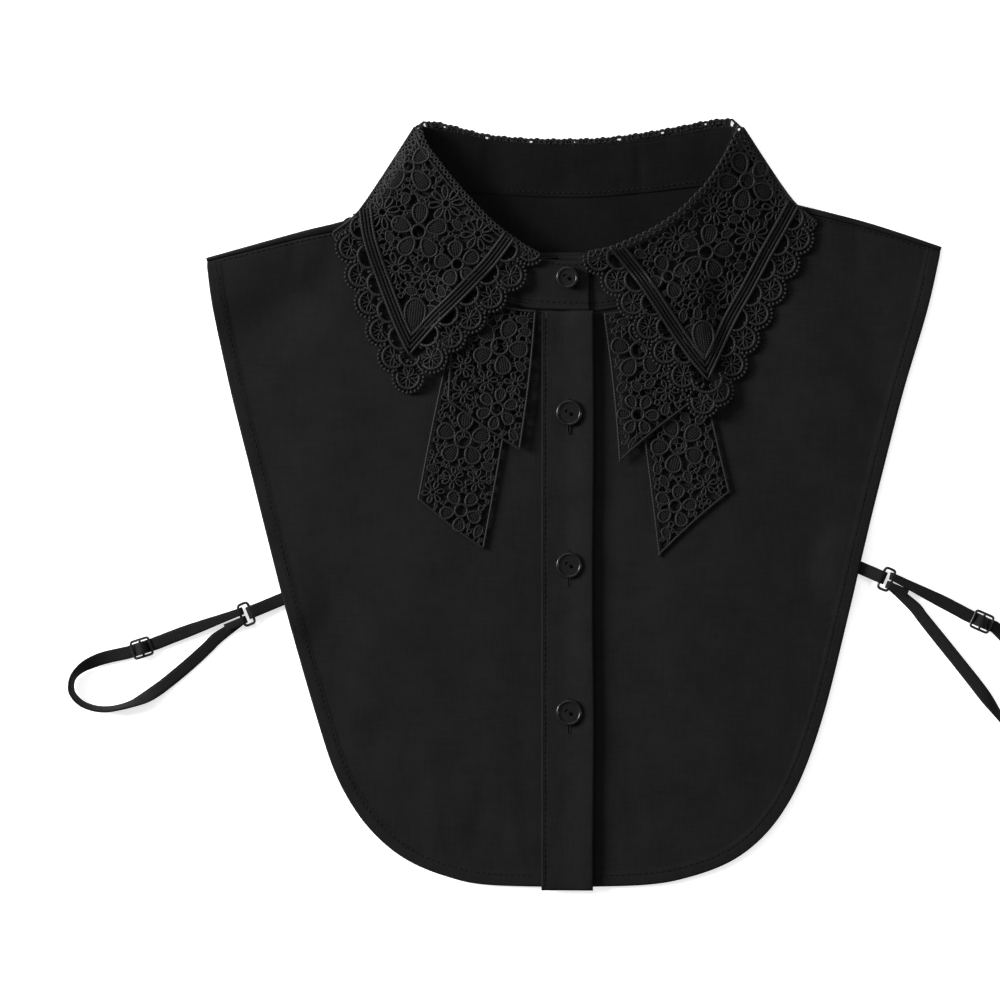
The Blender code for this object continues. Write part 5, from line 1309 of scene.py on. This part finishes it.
# %% Back of the collar
BACK_ROLL = ((-64.6, 180.2), (-55.0, 178.9), (-36.0, 174.0), (-17.0, 172.0), (1.5, 171.6), (20.0, 172.2),
             (39.0, 174.6), (58.0, 178.0), (70.0, 180.4), (81.0, 181.4))
BACK_FALL = ((-104.6, 126.8), (-70.0, 123.8), (-30.0, 122.6), (7.0, 122.4), (50.0, 123.8), (86.0, 127.4),
             (116.6, 133.6))
BACK_FLOWERS = ((-62.0, 152.0), (-28.0, 150.0), (7.0, 149.0), (42.0, 150.0), (76.0, 153.0))


def back_edging(roll):
    """Close rows of small solid rings under the roll line, and of leaves beside both folds; the solid fill is
    painted shade.
    """
    work = Lacework(1.1)
    # All but one ring in eight are filled solid, so the edge under the stand stays dark: painted shade.
    for k, (x, y) in enumerate(evenly(roll, 2.6)[1:-1]):
        reach = 1.25 + 0.2 * ((k * 7) % 3 - 1)
        if k % 8 == 3:
            work.ring(x, y - 1.5, reach, 0.5)
        else:
            work.petal(x - reach, y - 1.5, 0.0, 2 * reach, 2 * reach, 0.5)
    for inset in (3.9, 6.3):
        for x, y in evenly(roll, 2.9)[1:-1]:
            work.petal(x - 1.6, y - inset, 0.0, 3.2, 3.0, 0.5)
    # Dense leaves beside the folds: the back layer of lace, packed close so that its gaps stay dark as
    # painted shade.
    for side, line in FOLD_LINES.items():
        for inset in (3.4, 8.2, 13.0):
            row = evenly(line, 5.6)
            way = np.gradient(row, axis=0)
            way /= np.linalg.norm(way, axis=1)[:, None]
            for place, ahead in zip(row + normals_of(row) * side * inset, way):
                if place[1] < 172:
                    work.petal(*(place - 3.8 * ahead), math.atan2(ahead[1], ahead[0]), 7.6, 5.2)
    mesh = work.build("lace_back_edging", lambda x, y: np.full(np.shape(x), LACE / 2))
    return laid("lace_back_edging", mesh, ())


def lace_back():
    """The lace that rolls over the stand behind the neck, with its edging as a piece of its own."""
    random = np.random.default_rng(77)
    work = Lacework(0.9)
    roll, fall = spline(BACK_ROLL, 1.0), spline(BACK_FALL, 1.0)
    fine = evenly(fall, 1.0)
    at = np.linspace(0, 17, len(fine))
    lower = fine + normals_of(fine) * (1.9 * np.sin(math.pi * (at % 1.0)) ** 0.7 - 0.2)[:, None]
    left, right = FOLD_LINES[-1], FOLD_LINES[1]
    outline = np.concatenate([roll, right[(right[:, 1] > 135) & (right[:, 1] < 178)], lower[::-1],
                              left[::-1][(left[::-1, 1] > 129) & (left[::-1, 1] < 178)]])
    work.element()
    work.cord(shrunk(outline, 0.75), 0.6, True)
    for k in range(17):
        place = fine[int((k + 0.5) / 17 * (len(fine) - 1))]
        work.element()
        work.ring(place[0], place[1] + 4.6, 3.6, 0.5)
        work.ring(place[0], place[1] + 4.6, 1.3, 0.42)
    for x, y in BACK_FLOWERS:
        work.flower(x, y, 3.3, 6, 7.6, 6.0, random.uniform(0, 6), thick=0.6)
    fill_field(work, outline, random)
    mesh = work.build("lace_collar_back", lambda x, y: np.full(np.shape(x), LACE / 2))
    made = laid("lace_collar_back", mesh, ("lace_back",))
    return made, back_edging(roll)


back_lace, edging = lace_back()

# %% [markdown]
# ## Buttons and sewing
# A button is a profile turned round its middle, with two holes drilled through it. Stitches are
# short cords laid end to end along each seam: a drawn line would look flat, while a real stitch
# sinks at both ends and catches the light in its middle.

# %% Buttons
Button = namedtuple("Button", "name x y radius seat")
BUTTONS = (
    Button("button_neck", 3.1, 106.2, 5.2, 9.4), Button("button_upper", 4.0, 42.8, 6.1, 4.9),
    Button("button_middle", 4.0, -28.7, 6.1, 4.9), Button("button_lower", 4.0, -97.8, 6.1, 4.9),
)
BUTTON_THICK, RIM_WIDE, DISH, HOLE_RADIUS, HOLE_APART = 2.2, 1.5, 0.7, 0.8, 1.35
HOLE_TURN = math.radians(-35)


def turned(profile, steps):
    """A closed body from a profile of radius and height, its first and last points on the axis."""
    turn = np.arange(steps) * math.tau / steps
    r, z = profile[1:-1, 0], profile[1:-1, 1]
    rings = np.stack([np.outer(r, np.cos(turn)), np.outer(r, np.sin(turn)),
                      np.outer(z, np.ones(steps))], axis=2)
    points = np.concatenate([rings.reshape(-1, 3), [[0, 0, profile[0, 1]], [0, 0, profile[-1, 1]]]])
    k = np.arange(steps)
    a = np.arange(len(r) - 1)[:, None] * steps
    quads = np.stack([a + k, a + steps + k, a + steps + (k + 1) % steps, a + (k + 1) % steps], axis=2)
    quads = quads.reshape(-1, 4)
    last = (len(r) - 1) * steps
    caps = np.concatenate([np.stack([k, (k + 1) % steps, np.full(steps, len(points) - 2)], axis=1),
                           np.stack([last + (k + 1) % steps, last + k,
                                     np.full(steps, len(points) - 1)], axis=1)])
    return points, quads, caps


def button(row):
    """A turned disc with a soft rim and a dished middle, drilled twice by cylinders that are then removed."""
    r, top = row.radius, BUTTON_THICK
    rim = [(r - RIM_WIDE + RIM_WIDE / 2 * (1 - math.cos(t)), top - DISH + DISH * math.sin(t))
           for t in np.radians(np.linspace(0, 90, 6))]
    fall = [(r - 0.75 + 0.75 * math.sin(t), top - 0.75 * (1 - math.cos(t)))
            for t in np.radians(np.linspace(15, 90, 6))]
    base = [(r, 0.5), (r - 0.15, 0.15), (r - 0.5, 0.0), (0.0, 0.0)]
    profile = np.array([(0.0, top - DISH - 0.1), (r * 0.4, top - DISH - 0.05)] + rim + fall + base)
    points, quads, caps = turned(profile, 56)
    made = bpy.data.objects.new(row.name + "_horn", mesh_from(row.name, points, [quads, caps]))
    bpy.context.scene.collection.objects.link(made)
    drills = []
    for way in (-1, 1):
        shape = np.array([(0, 2 * top), (HOLE_RADIUS, 2 * top), (HOLE_RADIUS, -top), (0, -top)])
        points, quads, caps = turned(shape, 18)
        drill = bpy.data.objects.new("drill", mesh_from("drill", points, [quads, caps]))
        bpy.context.scene.collection.objects.link(drill)
        drill.location = (way * HOLE_APART * MM * math.cos(HOLE_TURN),
                          way * HOLE_APART * MM * math.sin(HOLE_TURN), 0)
        cut = made.modifiers.new("hole", "BOOLEAN")
        cut.operation, cut.solver, cut.object = "DIFFERENCE", "EXACT", drill
        drills.append(drill)
    bpy.context.view_layer.update()
    mesh = bpy.data.meshes.new_from_object(made.evaluated_get(bpy.context.evaluated_depsgraph_get()))
    for old in (made, *drills):
        bpy.data.objects.remove(old)
    place = np.empty(3 * len(mesh.vertices), np.float32)
    mesh.vertices.foreach_get("co", place)
    mesh.vertices.foreach_set("co", (place.reshape(-1, 3) + np.array([row.x, row.y, row.seat]) * MM).ravel())
    mesh.materials.clear()
    mesh.shade_smooth()
    mesh.set_sharp_from_angle(angle=math.radians(40))
    made = dressed(row.name + "_horn", mesh, horn, (row.name,))
    return made


buttons = [button(row) for row in BUTTONS]
print("buttons", [len(o.data.polygons) for o in buttons])

# %% Stitches, buttonholes and button threads
STITCH, STITCH_GAP, STITCH_RADIUS = 2.1, 0.6, 0.24
EDGE_OUT, EDGE_SINK, EDGE_RADIUS = 0.03, 0.9, 1.25


def stitch_row(work, line):
    """Short cords along a line of x, y, z, each sunk at its ends."""
    line = evenly(line, 0.9, 3)
    total = np.linalg.norm(np.diff(line, axis=0), axis=1).sum()
    for start in np.arange(1.0, total - STITCH, STITCH + STITCH_GAP):
        share = (start + STITCH * np.array([0.0, 0.3, 0.7, 1.0])) / total
        dip = np.outer([-0.2, 0.05, 0.05, -0.2], [0, 0, 1])
        work.cord(at_shares(line, share) + dip, STITCH_RADIUS, sides=5)


def placket_top(x, y):
    """Height of the placket's upper face."""
    return front_top(x, y) + GAP + HEM_RAISE + PLACKET


def stand_edge():
    """The folded lower edge of the stand, as a soft cord that closes the seam to the panels and placket."""
    work = Lacework()
    line = spline(STAND_ROWS, 1.3)
    front = (line[:, 1] < 118) & (np.arange(len(line)) > 3)
    line = line[front]
    beside = line[:, :2] - (line[:, 3:5] - line[:, :2]) * EDGE_OUT
    high = np.maximum(front_top(beside[:, 0], beside[:, 1]), line[:, 2] + STAND) - EDGE_SINK
    work.cord(np.column_stack([beside, high]), EDGE_RADIUS, sides=10)
    made = dressed("stand_lower_fold", work.build("stand_lower_fold", lambda x, y: 0 * x), cotton)
    return made


stand_edge()


def sewing_cords():
    """All rows of stitches and the worked edges of the buttonholes, as cords in one plan."""
    work = Lacework()
    for side in (-1, 1):
        edge = EDGES[side]
        row = edge + normals_of(edge) * side * HEM_STITCH
        row = row[(np.abs(row[:, 0] - CENTRE_X) > 14.0) & (row[:, 1] < 110)]
        stitch_row(work, np.column_stack([row, front_top(row[:, 0], row[:, 1]) + 0.3]))
        seam = shoulder_line(side, SEAM_AT_TIP + 1.4, SEAM_AT_NECK[side] + 1.4)
        stitch_row(work, np.column_stack([seam, front_top(seam[:, 0], seam[:, 1]) + 0.12])[2:-14])
    y = np.arange(PLACKET_BOTTOM + 1, PLACKET_TOP - 1, 1.0)
    x = np.full(len(y), PLACKET_LEFT + 1.7)
    stitch_row(work, np.column_stack([x, y, placket_top(x, y)]))
    for line in STAND_SEAMS:
        stitch_row(work, line)
    for row in BUTTONS[1:]:
        middle, half = row.y - 1.6, 8.2
        t = np.radians(np.arange(0, 360, 12))
        x = row.x + 0.75 * np.sign(np.cos(t)) * np.abs(np.cos(t)) ** 0.3
        y = middle + half * np.sin(t)
        work.cord(np.column_stack([x, y, placket_top(x, y) + 0.2]), 0.5, True)
    for row in BUTTONS:
        way = np.array([math.cos(HOLE_TURN), math.sin(HOLE_TURN)])
        beside = np.array([-way[1], way[0]])
        for offset in (-0.36, 0.0, 0.36):
            along = np.outer(np.linspace(-1, 1, 7) * HOLE_APART, way)
            flat = np.array([row.x, row.y]) + along + beside * offset
            high = row.seat + BUTTON_THICK - DISH + np.array([-0.9, -0.2, 0.12, 0.2, 0.12, -0.2, -0.9])
            work.cord(np.column_stack([flat, high]), 0.2, sides=5)
    mesh = work.build("sewing_threads", lambda x, y: np.zeros(np.shape(x)))
    made = dressed("sewing_threads", mesh, sewing)
    return made


threads = sewing_cords()
print("sewing", len(threads.data.polygons))

# %% [markdown]
# ## The elastic arm loops
# At each armhole edge a doubled tab holds an oval ring. The strap folds over the ring, runs out
# round a loop, back through a slider, and over the ring again. Cloth simulation would not help: a
# strap's path is given, so it is a flat band swept along it, with its twist as an angle.

# %% Paths of the straps
RING_Z, RING_WIRE, RING_LONG, RING_WIDE = 2.25, 0.65, 10.4, 5.3
SLIDER_HALF, SLIDER_ARM, SLIDER_Z, HAIRPIN, BAR, MOST_TWIST = 5.0, 4.7, 2.8, 1.6, 1.3, 74.0
Strap = namedtuple("Strap", "side ring slider turn tab route")
STRAPS = (
    Strap("left", (-147.6, -51.7), (-196.7, -67.6), 22.6, 20.2, (
        (-160.6, -62.4, 0, 5.6), (-173.0, -74.0, 0, 6), (-186.5, -85.2, 8, 6), (-195.6, -91.2, 40, 6),
        (-204.6, -94.8, 80, 6), (-214.6, -96.4, 97, 6), (-223.4, -94.4, 100, 6), (-228.6, -89.8, 96, 6),
        (-229.9, -84.6, 86, 6), (-227.2, -79.0, 66, 6), (-221.0, -74.8, 38, 6), (-213.4, -72.0, 14, 6))),
    Strap("right", (153.2, -35.3), (197.9, -55.2), 156.6, 17.2, (
        (165.8, -47.8, 0, 5.6), (178.6, -63.8, 0, 6), (187.6, -75.0, 0, 6), (196.4, -86.2, 16, 6),
        (203.0, -95.2, 54, 6), (209.6, -103.6, 84, 6), (217.2, -108.8, 96, 6), (225.0, -107.6, 100, 6),
        (229.2, -101.2, 96, 6), (229.3, -92.0, 84, 6), (226.4, -82.2, 60, 6), (219.6, -73.2, 30, 6),
        (212.4, -66.2, 10, 6))),
)


def hairpin(at, away, width):
    """Half a turn round the ring's wire, from above down."""
    return [(*(at - away * HAIRPIN * math.sin(t)), RING_Z + HAIRPIN * math.cos(t), 0, width)
            for t in np.radians(np.arange(0, 181, 30))]


def strap_rows(row):
    """Rows of x, y, z, twist and width from the folded end at the ring, round the loop and back."""
    ring, slider = np.array(row.ring), np.array(row.slider)
    turn, sign = math.radians(row.turn), 1 if row.side == "left" else -1
    away = -np.array([math.cos(turn), math.sin(turn)])
    along = np.array([-away[1], away[0]]) * -sign
    low = STRAP / 2 + 0.22
    outer, inner = (ring + away * RING_WIDE / 2 + along * reach for reach in (-2.15, 2.15))
    rows = [(*(outer + away * 9.0), low + 2.4, 0, 3.6), (*(outer + away * 5.0), low + 2.8, 0, 3.6)]
    rows += hairpin(outer, away, 3.6)
    for x, y, twist, width in spline(row.route, 6.5, 2):
        twist = min(twist, MOST_TWIST)
        angle = math.radians(twist)
        lift = width / 2 * abs(math.sin(angle)) + STRAP / 2 * abs(math.cos(angle))
        rows.append((x, y, lift + 0.4, twist * sign, width))
    ahead = (ring - slider) / np.linalg.norm(ring - slider)
    for u, z in ((-SLIDER_HALF - 2.2, low), (-SLIDER_HALF + BAR / 2, low), (-2.4, 2.5), (-1.1, 5.1),
    (1.1, 5.1),
                 (2.4, 2.5), (SLIDER_HALF - BAR / 2, low), (SLIDER_HALF + 3.0, low)):
        rows.append((*(slider + ahead * u), z, 0, 6.0))
    rows += [(*(slider + (inner - slider) * u), low, 0, width)
             for u, width in ((0.35, 6.0), (0.6, 5.4), (0.8, 4.4))]
    rows += hairpin(inner, away, 3.6)[::-1]
    rows += [(*(slider + (inner - slider) * u), low + z, 0, width)
             for u, z, width in ((0.8, 2.4, 4.4), (0.6, 1.9, 5.4), (0.42, 1.5, 6.0))]
    rows += [(*(slider + ahead * (SLIDER_HALF + u)), low + STRAP + GAP, 0, 6.0) for u in (0.2, 0.2 - BAR)]
    return rows


def tab_rows(row):
    """Rows of the doubled tab: under the hem, round the ring's wire and back."""
    turn = math.radians(row.turn)
    towards = np.array([math.cos(turn), math.sin(turn)])
    wire = np.array(row.ring) + towards * RING_WIDE / 2
    under = [(*(wire + towards * row.tab * u), 0.65, 0, 6.0) for u in (1.0, 0.6, 0.3)]
    over = [(*(wire + towards * row.tab * u), z, 0, 6.0) for u, z in ((0.3, 2.9), (0.6, 2.1), (1.0, 1.95))]
    return under + hairpin(wire, towards, 6.0)[::-1] + over


def flat_band(name, rows, nodes):
    """A flat band with rounded edges: its section turns about the path by the row's twist."""
    line = spline(rows, 0.8, 3)
    path, twist, width = line[:, :3], np.radians(line[:, 3]), line[:, 4]
    way = np.gradient(path, axis=0)
    way /= np.linalg.norm(way, axis=1)[:, None]
    across = [np.cross(way[0], (0, 0, 1.0))]
    for ahead in way:
        side = across[-1] - ahead * across[-1].dot(ahead)
        across.append(side / np.linalg.norm(side))
    across = np.array(across[1:])
    flat = np.cross(way, across)
    side = across * np.cos(twist)[:, None] + flat * np.sin(twist)[:, None]
    face = flat * np.cos(twist)[:, None] - across * np.sin(twist)[:, None]
    section = np.array([(-1, -0.5), (-0.9, -1), (-0.45, -0.86), (0, -1), (0.45, -0.86), (0.9, -1), (1, -0.5),
                        (1, 0.5), (0.9, 1), (0.45, 0.86), (0, 1), (-0.45, 0.86), (-0.9, 1), (-1, 0.5)])
    points = path[:, None] + side[:, None] * (width[:, None] / 2 * section[:, 0])[..., None]
    points = points + face[:, None] * (STRAP / 2 * section[:, 1])[None, :, None]
    n, sides = points.shape[:2]
    k, a = np.arange(sides), (np.arange(n - 1) * sides)[:, None]
    quads = np.stack([a + k, a + (k + 1) % sides, a + sides + (k + 1) % sides, a + sides + k], axis=2)
    quads = quads.reshape(-1, 4)
    long = np.concatenate([[0], np.cumsum(np.linalg.norm(np.diff(path, axis=0), axis=1))]) * MM
    u, v0 = np.broadcast_arrays(section[:, 0] * 0.5, long[:-1, None])
    u1, v1 = np.broadcast_arrays(np.roll(section[:, 0], -1) * 0.5, long[1:, None])
    uv = np.stack([u, v0, u1, v0, u1, v1, u, v1], axis=2).reshape(-1, 2)
    ends = np.array([k[::-1], (n - 1) * sides + k])
    uv = np.concatenate([uv, np.zeros((2 * sides, 2))])
    mesh = mesh_from(name, points.reshape(-1, 3), [quads, ends], uv)
    bm = bmesh.new()
    bm.from_mesh(mesh)
    bmesh.ops.recalc_face_normals(bm, faces=bm.faces)
    bm.to_mesh(mesh)
    bm.free()
    made = dressed(name, mesh, elastic, nodes)
    return made


straps = [flat_band(f"elastic_strap_{row.side}", strap_rows(row), (f"strap_{row.side}",)) for row in STRAPS]
tabs = [flat_band(f"elastic_tab_{row.side}", tab_rows(row), (f"tab_{row.side}",)) for row in STRAPS]
print("straps", [len(o.data.polygons) for o in straps + tabs])

# %% Rings and sliders


def bent(long, wide, square, count=72):
    """A squared oval: each of cosine and sine raised to a power, its sign kept."""
    t = np.arange(count) * math.tau / count
    return np.stack([np.sign(np.cos(t)) * np.abs(np.cos(t)) ** square * long,
                     np.sign(np.sin(t)) * np.abs(np.sin(t)) ** square * wide], axis=1)


def fitting(row):
    """The enamelled ring, and the slider as a squared frame with a bar across its middle."""
    turn = math.radians(row.turn)
    towards = np.array([math.cos(turn), math.sin(turn)])
    side = np.array([-towards[1], towards[0]])
    work = Lacework()
    oval = bent(RING_LONG / 2, RING_WIDE / 2, 0.4)
    line = np.array(row.ring) + oval[:, :1] * side + oval[:, 1:] * towards
    work.cord(np.column_stack([line, np.full(len(line), RING_Z)]), RING_WIRE, True, sides=12)
    mesh = work.build(f"enamel_ring_{row.side}", lambda x, y: 0 * x)
    ring = dressed(f"enamel_ring_{row.side}", mesh, enamel, (f"ring_{row.side}",))
    ahead = np.array(row.ring) - np.array(row.slider)
    ahead /= np.linalg.norm(ahead)
    side = np.array([-ahead[1], ahead[0]])
    work = Lacework()
    frame_line = bent(SLIDER_HALF - 0.6, SLIDER_ARM - 0.6, 0.22, 96)
    line = np.array(row.slider) + frame_line[:, :1] * ahead + frame_line[:, 1:] * side
    work.cord(np.column_stack([line, np.full(len(line), SLIDER_Z)]), 0.62, True, sides=10)
    bar = np.array(row.slider) + np.linspace(-1, 1, 9)[:, None] * (SLIDER_ARM - 0.6) * side
    work.cord(np.column_stack([bar, np.full(9, SLIDER_Z)]), 0.62, sides=10)
    slider = dressed(f"enamel_slider_{row.side}", work.build(f"enamel_slider_{row.side}", lambda x, y: 0 * x),
                     enamel, (f"slider_{row.side}",))
    return ring, slider


fittings = [fitting(row) for row in STRAPS]
print("fittings", len(fittings) * 2)

# %% [markdown]
# ## Floor, light and camera

# %% Floor, light and camera
TABLE_GLOW = 0.66


TABLE_HALF, TABLE_DROP = 1500, 0.05


def floor():
    """The pale table, just below the underside so that the two don't lie in one plane."""
    corners = [(u * TABLE_HALF, v * TABLE_HALF, -TABLE_DROP) for u, v in ((-1, -1), (1, -1), (1, 1), (-1, 1))]
    mesh = mesh_from("table", corners, [np.array([[0, 1, 2, 3]])])
    made = bpy.data.objects.new("table", mesh)
    paper = bpy.data.materials.new("pale_table")
    paper.use_nodes = True
    paper.node_tree.nodes["Principled BSDF"].inputs["Base Color"].default_value = (0.93, 0.93, 0.93, 1)
    paper.node_tree.nodes["Principled BSDF"].inputs["Roughness"].default_value = 0.9
    paper.node_tree.nodes["Principled BSDF"].inputs["Specular IOR Level"].default_value = 0.1
    paper.node_tree.nodes["Principled BSDF"].inputs["Emission Color"].default_value = (1, 1, 1, 1)
    paper.node_tree.nodes["Principled BSDF"].inputs["Emission Strength"].default_value = TABLE_GLOW
    mesh.materials.append(paper)
    bpy.context.scene.collection.objects.link(made)


def lamp(name, place, size, power, target=(0.0, 0.0, 0.0)):
    """A square soft light that faces a point of the object."""
    data = bpy.data.lights.new(name, "AREA")
    data.shape = "SQUARE"
    data.size = size
    data.energy = power
    made = bpy.data.objects.new(name, data)
    made.location = place
    gap = np.array(target) - np.array(place)
    flat = math.hypot(gap[0], gap[1])
    made.rotation_euler = (math.atan2(flat, -gap[2]), 0.0, math.atan2(gap[1], gap[0]) - math.pi / 2)
    bpy.context.scene.collection.objects.link(made)
    return made


floor()
lamp("key_left", (-2.0, 0.5, 0.98), 0.8, 101.0)
lamp("fill_above", (-0.5, 1.9, 2.1), 1.8, 22.0)
lamp("glint_right", (1.7, -0.2, 1.0), 0.25, 4.0)
world = bpy.data.worlds.new("studio")
world.use_nodes = True
world.node_tree.nodes["Background"].inputs["Color"].default_value = (1, 1, 1, 1)
world.node_tree.nodes["Background"].inputs["Strength"].default_value = 0.16
bpy.context.scene.world = world
bpy.context.scene.view_settings.view_transform = "Standard"

VIEW_X, VIEW_Y, VIEW_WIDE, VIEW_HIGH = -28.4, 1.9, 470.0, 3000.0
camera_data = bpy.data.cameras.new("camera")
camera_data.sensor_width = 36.0
camera_data.lens = 36.0 * VIEW_HIGH / VIEW_WIDE
camera_data.clip_end = 20.0
camera = bpy.data.objects.new("camera", camera_data)
camera.location = (VIEW_X * MM, VIEW_Y * MM, VIEW_HIGH * MM)
bpy.context.scene.collection.objects.link(camera)
bpy.context.scene.camera = camera
print("camera", tuple(round(v, 3) for v in camera.location))

# %% [markdown]
# ## What is cloth
# Every cloth and lace piece is a sheet laid on the layer below. The cell below only works out each
# tail's outline in metres. The straps are webbing under 10 mm wide, and the rest is thread, horn
# and enamel.

# %% Outlines of the tails
for made, row in zip(tails, TAILS):
    x, y = tail_outline(row).T * MM
